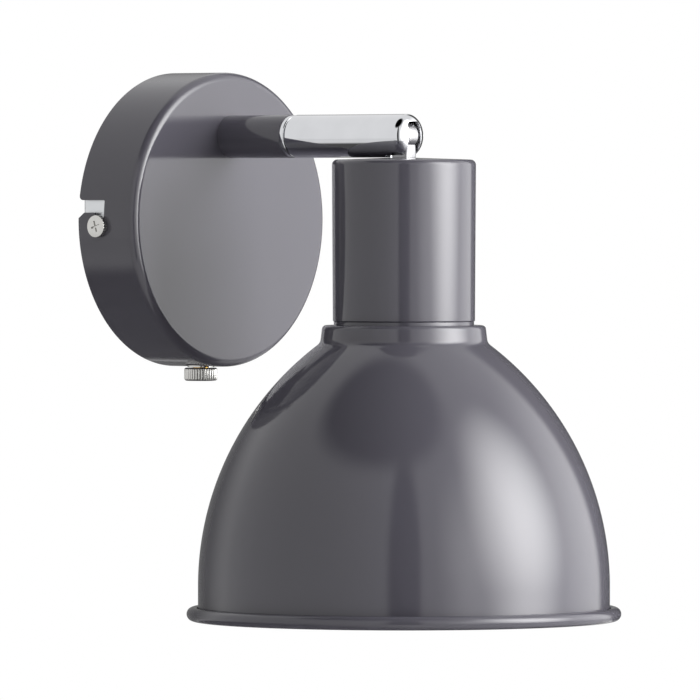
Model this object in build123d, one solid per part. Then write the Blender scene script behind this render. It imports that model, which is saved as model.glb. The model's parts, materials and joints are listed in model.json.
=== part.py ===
from build123d import *
import math
import os

# Bedside wall reading lamp. Millimetres. Origin: centre of the wall cup's back, on the wall.
# +Z is up, +X is to the right of someone who faces the wall, and the lamp stands out along -Y.

# ---------------------------------------------------------------- driving dimensions
# Wall cup (the rose), a deep-drawn steel dish with a rounded front edge
ROSE_DIAMETER = 110.0
ROSE_DEPTH = 27.5
ROSE_EDGE_RADIUS = 3.2
ROSE_SHEET = 1.0

# L-shaped catches in the cup's side wall, one on each side
CATCH_WIDTH = 4.6
CATCH_MOUTH_RISE = 5.0
CATCH_SCREW_DROP = 2.4
CATCH_DEPTH = 8.8
CATCH_LIP_RADIUS = 2.0
CATCH_CHAMFER_LENGTH = 2.9
CATCH_CHAMFER_RISE = 2.2

# Wall bracket, a bent strap
BRACKET_WIDTH = 17.0
BRACKET_THICKNESS = 1.5
BRACKET_TAB_REACH = 14.0
BRACKET_BEND_RADIUS = 1.0
BRACKET_CLEARANCE = 0.4
WALL_SCREW_SPACING = 64.0
WALL_SLOT_WIDTH = 4.5
WALL_SLOT_LENGTH = 12.0

# Knurled side screws
SIDE_SCREW_SIZE = 4.0
SIDE_HEAD_DIAMETER = 8.4
SIDE_HEAD_HEIGHT = 2.2
SIDE_SCREW_LENGTH = 8.0
SIDE_KNURL_COUNT = 24
SIDE_KNURL_DEPTH = 0.35
SIDE_EDGE_RADIUS = 0.4
DRIVE_CROSS_LENGTH = 4.0
DRIVE_CROSS_WIDTH = 0.8
DRIVE_CROSS_DEPTH = 0.7

# Arm
ARM_HEIGHT = 31.0
ARM_DIAMETER = 16.0
ARM_REACH = 111.4
ARM_WALL = 1.5
SOCKET_LENGTH = 30.1
RING_LENGTH = 2.0
RING_STEP = 0.15
RING_BACK_EDGE = 0.3
RING_FRONT_EDGE = 0.5
RING_GROOVE = 0.5
RING_HUB_STEP = 1.2
ARM_EDGE_RADIUS = 0.5
SOCKET_EDGE_RADIUS = 0.3
SOCKET_BORE_TAPER = 1.5
THREAD_RUNOUT = 1.0
PIPE_THREAD = 10.0
PIPE_BORE = 7.0
NIPPLE_GRIP = 11.0
NIPPLE_OVERHANG = 1.5
BUSH_GRIP = 11.0
COLLAR_LENGTH = 6.0
BUSH_HEAD_DIAMETER = 12.4
BUSH_HEAD_LENGTH = 2.0
BUSH_HEAD_EDGE = 0.4
WAVE_WASHER_THICKNESS = 0.5
ARM_CABLE_DIAMETER = 4.6
ARM_CABLE_GAP = 1.0

# Knuckle at the arm's end
DOME_START = 1.35
DOME_DEPTH = 4.3
PLUG_SHANK_LENGTH = 15.0
PLUG_CABLE_BORE = 5.4
PLUG_LAP = 0.5
FORK_SLOT_WIDTH = 7.1
FORK_SLOT_TOP = 5.3
FORK_SLOT_CORNER = 1.2
FORK_SLOT_BACK = 6.0
LUG_THICKNESS = 6.5
LUG_EYE_DIAMETER = 10.0
LUG_EYE_CHAMFER = 0.3
LUG_BAR_DEPTH = 7.4
PIVOT_DIAMETER = 4.0
PIVOT_HEAD_DIAMETER = 6.6
PIVOT_HEAD_DEPTH = 2.0
PIVOT_SKIN = 2.0
PIVOT_TIP_GAP = 0.3
PIVOT_DRIVE_WIDTH = 0.8
PIVOT_DRIVE_DEPTH = 0.5

# Lampholder cup
CUP_DROP = 8.4
CUP_HEIGHT = 59.4
CUP_TOP_DIAMETER = 53.0
CUP_MOUTH_DIAMETER = 52.3
CUP_WALL = 1.2
CUP_TOP_THICKNESS = 2.4
CUP_TOP_RADIUS = 2.0
CUP_MOUTH_RADIUS = 0.5
CUP_INSIDE_RADIUS = 1.0
CUP_CROWN = 0.4
STEM_LENGTH = 13.5
STEM_BORE_DIAMETER = 5.0
STEM_BORE_DEPTH = 12.5

# Neck between the cup and the shade
NECK_DIAMETER = 51.6
NECK_GAP = 2.0
NECK_WALL = 1.6
NECK_SPIGOT = 4.0

# Shade, spun from sheet
SHADE_DIAMETER = 160.0
SHADE_SHEET = 0.8
SHADE_HEIGHT = 108.6
SHADE_HOLE_DIAMETER = 40.0
SHADE_COLLAR_TOP_DIAMETER = 60.4
SHADE_COLLAR_FOOT_DIAMETER = 61.6
SHADE_COLLAR_HEIGHT = 6.4
SHADE_COLLAR_RADIUS = 1.6
DOME_RADIUS = 111.5
RIM_CURL_DIAMETER = 5.0
RIM_CURL_TURN = 300.0

# Edison-screw lampholder
HOLDER_DIAMETER = 39.0
HOLDER_WALL = 2.2
HOLDER_CAP_HEIGHT = 21.0
HOLDER_BOSS_DIAMETER = 15.0
HOLDER_BOSS_LENGTH = 9.0
HOLDER_BOSS_RISE = 3.0
HOLDER_SHOULDER_DROP = 10.0
HOLDER_INSIDE_DROP = 12.0
HOLDER_SHOULDER_RADIUS = 4.0
HOLDER_INSIDE_RADIUS = 2.0
HOLDER_BODY_HEIGHT = 52.0
HOLDER_FLANGE_DIAMETER = 46.0
HOLDER_FLANGE_THICKNESS = 2.0
HOLDER_SEAM = 0.2
HOLDER_LIP_WIDTH = 1.2
HOLDER_LIP_HEIGHT = 2.0
HOLDER_MOUTH_EDGE = 0.8
CLAMP_RING_DIAMETER = 50.0
CLAMP_RING_HEIGHT = 7.0
CLAMP_FLANGE_WIDTH = 3.0
CLAMP_FLANGE_THICKNESS = 2.0
CLAMP_FLANGE_SLOPE = 0.5
CLAMP_RING_RIBS = 24
CLAMP_RIB_DEPTH = 1.6
CLAMP_RIB_WIDTH = 1.4
SHELL_DIAMETER = 27.4
SHELL_SHEET = 0.4
SHELL_LENGTH = 24.0
SHELL_RECESS = 6.0
INSERT_THICKNESS = 9.0
HOLDER_SCREW_SPAN = 9.0
HOLDER_SCREW_LENGTH = 3.5
HOLDER_SCREW_HEAD_DIAMETER = 5.0
HOLDER_SCREW_WELL_DIAMETER = 4.8
HOLDER_SCREW_WELL_DEPTH = 4.0
HOLDER_LEAD_SPREAD = 1.3
HOLDER_LEAD_ENTRY = 3.0
HOLDER_LEAD_DROP = 9.0
HOLDER_LEAD_FALL = 8.0
HOLDER_LEAD_BEND = 5.0

# Sprung centre contact, a folded brass tongue
CONTACT_SHEET = 0.6
CONTACT_WIDTH = 5.0
CONTACT_TONGUE_LENGTH = 11.0
CONTACT_BLADE_LENGTH = 9.0
CONTACT_FOLD_HEIGHT = 2.1
CONTACT_END = -7.0
CONTACT_BUTTON_DIAMETER = 3.6
CONTACT_BUTTON_RISE = 0.55
CONTACT_CLEARANCE = 0.33

# Light bulb
BULB_DIAMETER = 60.0
BULB_LENGTH = 105.0
BULB_JOINT_ANGLE = 48.0
BULB_CAP_DIAMETER = 25.6
BULB_CAP_LENGTH = 22.0
BULB_NECK_LAP = 0.6
BULB_COLLAR_LENGTH = 26.0
BULB_GLASS = 1.0
CAP_SHOULDER_DROP = 4.0
CAP_SHOULDER_WIDTH = 1.6
CAP_SHOULDER_RISE = 0.8
CAP_SHEET = 0.5
BEAD_DIAMETER = 9.0
BEAD_CLEARANCE = 0.1
BEAD_RISE = 1.5
BEAD_DROP = 3.6
BEAD_HEIGHT = 1.4
TIP_DIAMETER = 4.8
TIP_HEIGHT = 1.0
TIP_EDGE_DROP = 0.3
TIP_CLEARANCE = 0.05
THREAD_PITCH = 3.6
THREAD_DEPTH = 0.7
THREAD_CREST_START = 0.35
THREAD_CREST_END = 0.65

# Rotary switch
KNOB_DIAMETER = 12.5
KNOB_HEIGHT = 4.9
KNOB_GAP = 0.5
KNOB_KNURL_COUNT = 36
KNOB_KNURL_DEPTH = 0.4
KNOB_EDGE_RADIUS = 1.0
KNOB_FACE_THICKNESS = 1.2
SWITCH_OFFSET = 12.5
SWITCH_WIDTH = 22.0
SWITCH_DEPTH = 17.0
SWITCH_HEIGHT = 18.0
SWITCH_EDGE_RADIUS = 2.0
SWITCH_WIRE_SPAN = 7.0
SPINDLE_DIAMETER = 6.0
SPINDLE_LENGTH = 18.0
SPINDLE_END_GAP = 1.0

# Terminal block and wires
BLOCK_POLE_PITCH = 9.4
BLOCK_POLES = 3
BLOCK_WIDTH = 16.0
BLOCK_DEPTH = 13.0
BLOCK_TOWER_DIAMETER = 7.6
BLOCK_TOWER_HEIGHT = 4.0
BLOCK_EDGE_RADIUS = 1.0
BLOCK_GAP_WIDTH = 1.6
BLOCK_WELL_FLOOR = 3.0
BLOCK_WIRE_DEPTH = 5.0
TERMINAL_SCREW_DIAMETER = 4.0
WIRE_DIAMETER = 2.2
WIRE_PLAY = 0.1
WIRE_INSERTION = 1.0
WIRE_TAIL = 7.0
WIRE_BEND = 3.0
LOAD_WIRE_TAIL = 8.0
NEUTRAL_WIRE_TAIL = 6.0
UPPER_WIRE_BEND = 4.0
EARTH_WIRE_GAP = 1.2
EARTH_WIRE_RISE = 14.0
EARTH_WIRE_CREST = 20.0
EARTH_SCREW_SPAN = 20.0

# Fasteners
NUT_WIDTH = 14.0
NUT_THICKNESS = 3.0
NUT_BEVEL_SLOPE = 0.55
NUT_CORNER_PLAY = 0.1
WASHER_DIAMETER = 16.0
WASHER_THICKNESS = 0.8
SMALL_SCREW_DIAMETER = 3.0
SMALL_HEAD_DIAMETER = 5.6
SMALL_HEAD_HEIGHT = 2.0
EARTH_SCREW_DIAMETER = 4.0
EARTH_HEAD_DIAMETER = 7.0
EARTH_HEAD_HEIGHT = 2.4
EARTH_WASHER_DIAMETER = 8.6
SCREW_SLOT_WIDTH = 0.7
SCREW_SLOT_DEPTH = 0.7
SCREW_HEAD_EDGE = 0.6

# Fits
RUNNING_FIT = 0.05
THREAD_FIT = 0.05
LOOSE_FIT = 0.2
SEAT_GAP = 0.02

# How far a cutter reaches past what it cuts
OVERCUT = 1.0

# Shares of a knurl's pitch and of its edge radius
KNURL_GROOVE_SHARE = 0.62
KNURL_BACK_EDGE_SHARE = 0.4

# ---------------------------------------------------------------- worked out from them
ROSE_RADIUS = ROSE_DIAMETER / 2
ROSE_INSIDE_DEPTH = ROSE_DEPTH - ROSE_SHEET
ROSE_INSIDE_RADIUS = ROSE_RADIUS - ROSE_SHEET
TAB_FACE = math.sqrt(ROSE_INSIDE_RADIUS ** 2 - (BRACKET_WIDTH / 2) ** 2) - BRACKET_CLEARANCE
THREAD_RADIUS = PIPE_THREAD / 2
ARM_RADIUS = ARM_DIAMETER / 2
ARM_BORE_RADIUS = ARM_RADIUS - ARM_WALL
SOCKET_END = ROSE_DEPTH + SOCKET_LENGTH
RING_END = SOCKET_END + RING_LENGTH
ARM_START = RING_END + RING_GROOVE
ARM_END = ARM_REACH + DOME_START
NIPPLE_START = ROSE_INSIDE_DEPTH - WASHER_THICKNESS - NUT_THICKNESS - 2 * SEAT_GAP - NIPPLE_OVERHANG
BUSH_HEAD_START = ARM_START + COLLAR_LENGTH + WAVE_WASHER_THICKNESS + 2 * RUNNING_FIT
CUP_TOP = -CUP_DROP
CUP_MOUTH = CUP_TOP - CUP_HEIGHT
CUP_BORE_RADIUS = CUP_MOUTH_DIAMETER / 2 - CUP_WALL
SHADE_TOP = CUP_MOUTH - NECK_GAP
SHADE_FLOOR = SHADE_TOP - SHADE_SHEET
RIM_CENTRE = SHADE_TOP - SHADE_HEIGHT + RIM_CURL_DIAMETER / 2
STEM_BOTTOM = CUP_TOP - STEM_LENGTH
STEM_NUT_TOP = CUP_TOP - CUP_TOP_THICKNESS - WASHER_THICKNESS - 2 * SEAT_GAP
HOLDER_TOP = STEM_NUT_TOP - NUT_THICKNESS - SEAT_GAP
HOLDER_SPLIT = HOLDER_TOP - HOLDER_CAP_HEIGHT
HOLDER_BODY_TOP = HOLDER_SPLIT - HOLDER_SEAM
HOLDER_MOUTH = HOLDER_BODY_TOP - HOLDER_BODY_HEIGHT
HOLDER_BORE_RADIUS = HOLDER_DIAMETER / 2 - HOLDER_WALL
INSERT_TOP = HOLDER_MOUTH + SHELL_RECESS + SHELL_LENGTH + INSERT_THICKNESS
INSERT_FACE = INSERT_TOP - INSERT_THICKNESS
CONTACT_TOP = INSERT_FACE - SEAT_GAP
CONTACT_FACE = CONTACT_TOP - CONTACT_FOLD_HEIGHT - CONTACT_BUTTON_RISE
BULB_TIP = CONTACT_FACE - CONTACT_CLEARANCE
BULB_BOTTOM = BULB_TIP - BULB_LENGTH
BLOCK_BACK = BRACKET_THICKNESS + SEAT_GAP
BLOCK_LENGTH = BLOCK_POLES * BLOCK_POLE_PITCH
BLOCK_FRONT = BLOCK_BACK + BLOCK_DEPTH
BLOCK_HEAD_SEAT = BLOCK_FRONT - BLOCK_DEPTH / 2
BLOCK_WIRE_LINE = BLOCK_BACK + BLOCK_WIRE_DEPTH
KNOB_TOP = ROSE_RADIUS + KNOB_GAP
KNOB_BORE_TOP = KNOB_HEIGHT - KNOB_FACE_THICKNESS
NUT_CROWN_RADIUS = NUT_WIDTH / 2 / math.cos(math.pi / 6)
SWITCH_NUT_OUTER = math.sqrt(ROSE_INSIDE_RADIUS ** 2 - NUT_CROWN_RADIUS ** 2) - 2 * RUNNING_FIT
SWITCH_BODY_OUTER = SWITCH_NUT_OUTER - NUT_THICKNESS - SEAT_GAP

os.makedirs("parts", exist_ok=True)


# ---------------------------------------------------------------- shape helpers
def turned(corners, rounds=None):
    """Solid of revolution about Z from (radius, height) corners, some of them rounded."""
    outline = make_face(Polyline(*corners, close=True)).face()
    for index, radius in (rounds or {}).items():
        corner = outline.vertices().sort_by_distance(Vector(*corners[index]))[0]
        outline = outline.fillet_2d(radius, [corner])
    return revolve(Plane.XZ * outline, Axis.Z)


def sleeve(outer, inner, low, high):
    """Plain tube about Z between two heights."""
    return turned([(inner, low), (outer, low), (outer, high), (inner, high)])


def rod(radius, low, high):
    """Plain round bar about Z between two heights."""
    return turned([(0, low), (radius, low), (radius, high), (0, high)])


def hex_nut(width, thickness, bore, low):
    """Hexagon nut about Z whose underside is at the height low, with bevelled corners."""
    blank = extrude(RegularPolygon(width / 2, 6, major_radius=False), thickness)
    crown = width / 2 / math.cos(math.pi / 6)
    bevel = (crown - width / 2) * NUT_BEVEL_SLOPE
    reach = crown + NUT_CORNER_PLAY
    lathe = turned([(0, 0), (width / 2, 0), (reach, bevel), (reach, thickness - bevel),
                    (width / 2, thickness), (0, thickness)])
    return Pos(0, 0, low) * ((blank & lathe) - rod(bore, -OVERCUT, thickness + OVERCUT))


def knurled(radius, height, count, depth, edge):
    """Straight-knurled disc on Z from 0 to height, its far edge rounded."""
    blank = turned([(0, 0), (radius, 0), (radius, height), (0, height)],
                   {2: edge, 1: edge * KNURL_BACK_EDGE_SHARE})
    half = math.pi * radius / count * KNURL_GROOVE_SHARE
    outside = radius + depth
    outline = Polyline((radius - depth, 0), (outside, half * 2), (outside, -half * 2), close=True)
    groove = make_face(outline).face()
    cutter = extrude(groove, height)
    cutters = [Rot(0, 0, 360 * step / count) * cutter for step in range(count)]
    return blank - cutters


def from_wall(shape, across=0.0, height=0.0):
    """Turn a shape drawn along +Z so that it stands out from the wall."""
    return Pos(across, 0, height) * Rot(90, 0, 0) * shape


def on_arm(shape):
    """Place a shape drawn along +Z, from the wall outwards, on the arm's axis."""
    return from_wall(shape, 0, ARM_HEIGHT)


def on_head(shape):
    """Place a shape drawn about the pivot on the head's axis."""
    return Pos(0, -ARM_REACH, ARM_HEIGHT) * shape


def from_left(shape, depth, height):
    """Turn a shape drawn along +Z so that it points to -X."""
    return Pos(0, -depth, height) * Rot(0, -90, 0) * shape


def opposite(shape):
    """The same shape half a turn round the cup's own axis."""
    return Rot(0, 180, 0) * shape


def wire(points, bend):
    """Round wire along straight runs joined by tangent arcs."""
    path = FilletPolyline(*points, radius=bend)
    start = Plane(origin=path @ 0, z_dir=path % 0)
    return sweep(start * Circle(WIRE_DIAMETER / 2), path=path)


def save(node, *solids):
    """Write one node's solids to its own file."""
    body = solids[0] if len(solids) == 1 else Compound(children=[piece.solid() for piece in solids])
    export_step(body, f"parts/{node}.step")


# ---------------------------------------------------------------- wall cup and its bracket
def catch_cut():
    """Cutter for the left catch: mouth at the back edge, leg, and seat round the side screw."""
    half = CATCH_WIDTH / 2
    front = CATCH_DEPTH + half
    top = CATCH_MOUTH_RISE + half
    low = CATCH_MOUTH_RISE - half
    outline = make_face(Polyline(
        (-OVERCUT, top + CATCH_LIP_RADIUS), (0, top + CATCH_LIP_RADIUS), (CATCH_LIP_RADIUS, top),
        (front, top), (front, -CATCH_SCREW_DROP), (front - CATCH_WIDTH, -CATCH_SCREW_DROP),
        (front - CATCH_WIDTH, low), (CATCH_CHAMFER_LENGTH, low),
        (0, low - CATCH_CHAMFER_RISE), (-OVERCUT, low - CATCH_CHAMFER_RISE), close=True)).face()
    lip = Pos(0, top + CATCH_LIP_RADIUS) * Circle(CATCH_LIP_RADIUS)
    seat = Pos(CATCH_DEPTH, -CATCH_SCREW_DROP) * Circle(half)
    flat = Sketch() + outline - lip + seat
    # drawn with x = distance from the wall and y = height, then pushed out to -X
    plane = Plane(origin=(0, 0, 0), x_dir=(0, -1, 0), z_dir=(-1, 0, 0))
    return extrude(plane * flat, ROSE_RADIUS + OVERCUT) - Box(ROSE_RADIUS, ROSE_DIAMETER, ROSE_DIAMETER)


def rose_cover():
    """Drawn dish with its two catches, the hole for the arm and the hole for the switch."""
    outer = ROSE_RADIUS
    inner = ROSE_INSIDE_RADIUS
    dish = turned([(0, ROSE_INSIDE_DEPTH), (inner, ROSE_INSIDE_DEPTH), (inner, 0), (outer, 0),
                   (outer, ROSE_DEPTH), (0, ROSE_DEPTH)],
                  {1: ROSE_EDGE_RADIUS - ROSE_SHEET, 4: ROSE_EDGE_RADIUS})
    dish = from_wall(dish)
    cut = catch_cut()
    dish = dish - cut - opposite(cut)
    hole = THREAD_RADIUS + LOOSE_FIT
    dish = dish - on_arm(rod(hole, ROSE_INSIDE_DEPTH - OVERCUT, ROSE_DEPTH + OVERCUT))
    switch_hole = Pos(0, -SWITCH_OFFSET, -ROSE_RADIUS) * Cylinder(hole, 4 * ROSE_SHEET)
    return dish - switch_hole


def wall_bracket():
    """Bent strap with two slots for the wall screws and a threaded hole in each tab."""
    half = BRACKET_WIDTH / 2
    inner_bend = BRACKET_BEND_RADIUS
    outer_bend = BRACKET_BEND_RADIUS + BRACKET_THICKNESS
    tab_back = TAB_FACE - BRACKET_THICKNESS
    profile = make_face(Polyline(
        (-TAB_FACE, 0), (TAB_FACE, 0), (TAB_FACE, -BRACKET_TAB_REACH), (tab_back, -BRACKET_TAB_REACH),
        (tab_back, -BRACKET_THICKNESS), (-tab_back, -BRACKET_THICKNESS), (-tab_back, -BRACKET_TAB_REACH),
        (-TAB_FACE, -BRACKET_TAB_REACH), close=True)).face()
    for side in (-1, 1):
        outside = profile.vertices().sort_by_distance(Vector(side * TAB_FACE, 0))[0]
        profile = profile.fillet_2d(outer_bend, [outside])
        inside_corner = Vector(side * tab_back, -BRACKET_THICKNESS)
        inside = profile.vertices().sort_by_distance(inside_corner)[0]
        profile = profile.fillet_2d(inner_bend, [inside])
    strap = extrude(profile, half, both=True)
    slot = extrude(SlotOverall(WALL_SLOT_LENGTH, WALL_SLOT_WIDTH), 3 * BRACKET_THICKNESS, both=True)
    slots = [from_wall(slot, side * WALL_SCREW_SPACING / 2) for side in (-1, 1)]
    drill = rod(SIDE_SCREW_SIZE / 2 + THREAD_FIT, TAB_FACE - 2 * BRACKET_THICKNESS, ROSE_RADIUS)
    tab_hole = from_left(drill, CATCH_DEPTH, -CATCH_SCREW_DROP)
    block_hole = from_wall(rod(SMALL_SCREW_DIAMETER / 2 + THREAD_FIT, -OVERCUT, 2 * BRACKET_THICKNESS),
                           BLOCK_POLE_PITCH / 2)
    earth_hole = from_wall(rod(EARTH_SCREW_DIAMETER / 2 + THREAD_FIT, -OVERCUT, 2 * BRACKET_THICKNESS),
                           -EARTH_SCREW_SPAN)
    return strap - slots - tab_hole - opposite(tab_hole) - block_hole - earth_hole


def side_screw():
    """Knurled screw with a cross recess; its head's underside is at the cup's wall."""
    head = knurled(SIDE_HEAD_DIAMETER / 2, SIDE_HEAD_HEIGHT, SIDE_KNURL_COUNT, SIDE_KNURL_DEPTH,
                   SIDE_EDGE_RADIUS)
    cross = Box(DRIVE_CROSS_LENGTH, DRIVE_CROSS_WIDTH, 2 * DRIVE_CROSS_DEPTH)
    cross = cross + Rot(0, 0, 90) * cross
    head = head - Pos(0, 0, SIDE_HEAD_HEIGHT) * cross
    shank = rod(SIDE_SCREW_SIZE / 2, -SIDE_SCREW_LENGTH, 0)
    screw = Pos(0, 0, ROSE_RADIUS + SEAT_GAP) * (head + shank)
    return from_left(screw, CATCH_DEPTH, -CATCH_SCREW_DROP)


# ---------------------------------------------------------------- terminal block, earth and switch
def pole_offsets():
    """Places of the terminal block's poles across the wall."""
    middle = (BLOCK_POLES - 1) / 2
    return [(pole - middle) * BLOCK_POLE_PITCH for pole in range(BLOCK_POLES)]


def terminal_block():
    """Moulded block: a tower with a screw well at both ends of each pole's wire way."""
    base = Pos(0, -(BLOCK_BACK + BLOCK_DEPTH / 2), 0) * Box(BLOCK_LENGTH, BLOCK_DEPTH, BLOCK_WIDTH)
    base = fillet(base.edges().filter_by(Axis.X), BLOCK_EDGE_RADIUS)
    gap = Box(BLOCK_GAP_WIDTH, BLOCK_DEPTH, 2 * BLOCK_WIDTH)
    gaps = [Pos(offset + BLOCK_POLE_PITCH / 2, -BLOCK_FRONT, 0) * gap for offset in pole_offsets()[:-1]]
    block = base - gaps
    tower_top = BLOCK_FRONT + BLOCK_TOWER_HEIGHT
    well = TERMINAL_SCREW_DIAMETER / 2 + LOOSE_FIT
    well_floor = BLOCK_BACK + BLOCK_WELL_FLOOR
    for offset in pole_offsets():
        for row in (-1, 1):
            rise = row * BLOCK_WIDTH / 4
            tower = rod(BLOCK_TOWER_DIAMETER / 2, BLOCK_FRONT - OVERCUT, tower_top)
            block = block + from_wall(tower, offset, rise)
            block = block - from_wall(rod(well, well_floor, tower_top + OVERCUT), offset, rise)
        way = Cylinder(WIRE_DIAMETER / 2 + LOOSE_FIT, 2 * BLOCK_WIDTH)
        block = block - Pos(offset, -BLOCK_WIRE_LINE, 0) * way
    screw_way = rod(SMALL_SCREW_DIAMETER / 2 + LOOSE_FIT, 0, BLOCK_FRONT + OVERCUT)
    head_way = rod(SMALL_HEAD_DIAMETER / 2 + LOOSE_FIT, BLOCK_HEAD_SEAT, BLOCK_FRONT + OVERCUT)
    return block - from_wall(screw_way + head_way, BLOCK_POLE_PITCH / 2)


def slotted_screw(diameter, length, head_diameter=0.0, head_height=0.0):
    """Slotted screw along +Z: shank up to 0, then the head, whose slot faces out."""
    screw = rod(diameter / 2, -length, 0)
    if head_height:
        screw = screw + turned([(0, 0), (head_diameter / 2, 0), (head_diameter / 2, head_height),
                                (0, head_height)], {2: SCREW_HEAD_EDGE})
    width = max(diameter, head_diameter)
    return screw - Pos(0, 0, head_height) * Box(2 * width, SCREW_SLOT_WIDTH, 2 * SCREW_SLOT_DEPTH)


def terminal_screws():
    """Six grub screws that hold the wires, each down on its wire."""
    seat = BLOCK_WIRE_LINE + WIRE_DIAMETER / 2 + SEAT_GAP
    screw = Pos(0, 0, BLOCK_FRONT) * slotted_screw(TERMINAL_SCREW_DIAMETER, BLOCK_FRONT - seat)
    return [from_wall(screw, offset, row * BLOCK_WIDTH / 4) for offset in pole_offsets() for row in (-1, 1)]


def block_screw():
    """Screw that holds the terminal block to the bracket."""
    seat = BLOCK_HEAD_SEAT + SEAT_GAP
    screw = slotted_screw(SMALL_SCREW_DIAMETER, seat, SMALL_HEAD_DIAMETER, SMALL_HEAD_HEIGHT)
    return from_wall(Pos(0, 0, seat) * screw, BLOCK_POLE_PITCH / 2)


def earth_screw():
    """Brass earth screw in the bracket."""
    seat = BRACKET_THICKNESS + WASHER_THICKNESS + 2 * SEAT_GAP
    screw = slotted_screw(EARTH_SCREW_DIAMETER, seat, EARTH_HEAD_DIAMETER, EARTH_HEAD_HEIGHT)
    return from_wall(Pos(0, 0, seat) * screw, -EARTH_SCREW_SPAN)


def earth_washer():
    """Brass washer under the earth screw's head."""
    low = BRACKET_THICKNESS + SEAT_GAP
    hole = EARTH_SCREW_DIAMETER / 2 + LOOSE_FIT
    washer = sleeve(EARTH_WASHER_DIAMETER / 2, hole, low, low + WASHER_THICKNESS)
    return from_wall(washer, -EARTH_SCREW_SPAN)


def below_rose(shape):
    """Turn a shape drawn along +Z so that it points down on the switch's axis."""
    return Pos(0, -SWITCH_OFFSET, 0) * Rot(180, 0, 0) * shape


def switch_bush():
    """Threaded bush through the cup's wall, round the spindle."""
    low = SWITCH_BODY_OUTER + SEAT_GAP
    bore = SPINDLE_DIAMETER / 2 + RUNNING_FIT
    return below_rose(sleeve(THREAD_RADIUS, bore, low, ROSE_RADIUS + KNOB_GAP / 2))


def switch_body():
    """Moulded case of the rotary switch, bored for its spindle."""
    centre = SWITCH_BODY_OUTER - SWITCH_HEIGHT / 2
    body = Pos(0, 0, centre) * Box(SWITCH_WIDTH, SWITCH_DEPTH, SWITCH_HEIGHT)
    body = fillet(body.edges().filter_by(Axis.Z), SWITCH_EDGE_RADIUS)
    bore = rod(SPINDLE_DIAMETER / 2 + RUNNING_FIT, KNOB_TOP - SPINDLE_LENGTH, SWITCH_BODY_OUTER + OVERCUT)
    return below_rose(body - bore)


def switch_nut():
    """Nut that holds the switch to the cup's wall from inside."""
    bore = THREAD_RADIUS + THREAD_FIT
    return below_rose(hex_nut(NUT_WIDTH, NUT_THICKNESS, bore, SWITCH_NUT_OUTER - NUT_THICKNESS))


def switch_knob():
    """Knurled knob, bored blind for the spindle."""
    knob = knurled(KNOB_DIAMETER / 2, KNOB_HEIGHT, KNOB_KNURL_COUNT, KNOB_KNURL_DEPTH, KNOB_EDGE_RADIUS)
    knob = knob - rod(SPINDLE_DIAMETER / 2, -OVERCUT, KNOB_BORE_TOP)
    return below_rose(Pos(0, 0, KNOB_TOP) * knob)


def switch_spindle():
    """Brass spindle between the knob and the switch."""
    low = KNOB_TOP - SPINDLE_LENGTH + SPINDLE_END_GAP
    return below_rose(rod(SPINDLE_DIAMETER / 2 - SEAT_GAP, low, KNOB_TOP + KNOB_BORE_TOP))


# ---------------------------------------------------------------- arm
def arm_socket():
    """Painted tube on the wall cup, threaded at both ends and relieved between."""
    tight = THREAD_RADIUS + THREAD_FIT
    deep = ROSE_DEPTH + NIPPLE_GRIP + THREAD_RUNOUT
    shallow = SOCKET_END - BUSH_GRIP - THREAD_RUNOUT
    bore = ARM_BORE_RADIUS
    return on_arm(turned([(tight, ROSE_DEPTH), (ARM_RADIUS, ROSE_DEPTH), (ARM_RADIUS, SOCKET_END),
                          (tight, SOCKET_END), (tight, shallow), (bore, shallow - SOCKET_BORE_TAPER),
                          (bore, deep + SOCKET_BORE_TAPER), (tight, deep)], {2: SOCKET_EDGE_RADIUS}))


def arm_nipple():
    """Threaded nipple that joins the socket to the cup."""
    return on_arm(sleeve(THREAD_RADIUS, PIPE_BORE / 2, NIPPLE_START, ROSE_DEPTH + NIPPLE_GRIP))


def nipple_washer():
    """Washer inside the cup's face."""
    high = ROSE_INSIDE_DEPTH - SEAT_GAP
    return on_arm(sleeve(WASHER_DIAMETER / 2, THREAD_RADIUS + LOOSE_FIT, high - WASHER_THICKNESS, high))


def nipple_nut():
    """Nut on the nipple, against its washer."""
    high = ROSE_INSIDE_DEPTH - WASHER_THICKNESS - 2 * SEAT_GAP
    return on_arm(hex_nut(NUT_WIDTH, NUT_THICKNESS, THREAD_RADIUS + THREAD_FIT, high - NUT_THICKNESS))


def swivel_ring():
    """Chrome ring at the end of the socket, a shade narrower than the arm."""
    low = SOCKET_END + SEAT_GAP
    radius = ARM_RADIUS - RING_STEP
    hub = radius - RING_HUB_STEP
    bore = THREAD_RADIUS + THREAD_FIT
    # the ring's hub bridges the dark groove that shows beside the turning arm
    return on_arm(turned([(bore, low), (radius, low), (radius, RING_END), (hub, RING_END),
                          (hub, ARM_START - RUNNING_FIT), (bore, ARM_START - RUNNING_FIT)],
                         {1: RING_BACK_EDGE, 2: RING_FRONT_EDGE}))


def swivel_bush():
    """Threaded bush whose head holds the arm's collar."""
    low = SOCKET_END - BUSH_GRIP
    head = BUSH_HEAD_START
    head_end = head + BUSH_HEAD_LENGTH
    return on_arm(turned([(PIPE_BORE / 2, low), (THREAD_RADIUS, low), (THREAD_RADIUS, head),
                          (BUSH_HEAD_DIAMETER / 2, head), (BUSH_HEAD_DIAMETER / 2, head_end),
                          (PIPE_BORE / 2, head_end)], {4: BUSH_HEAD_EDGE}))


def wave_washer():
    """Spring washer that gives the swivel its friction, drawn flat."""
    low = ARM_START + COLLAR_LENGTH + RUNNING_FIT
    high = low + WAVE_WASHER_THICKNESS
    return on_arm(sleeve(ARM_BORE_RADIUS - LOOSE_FIT, THREAD_RADIUS + LOOSE_FIT, low, high))


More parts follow.
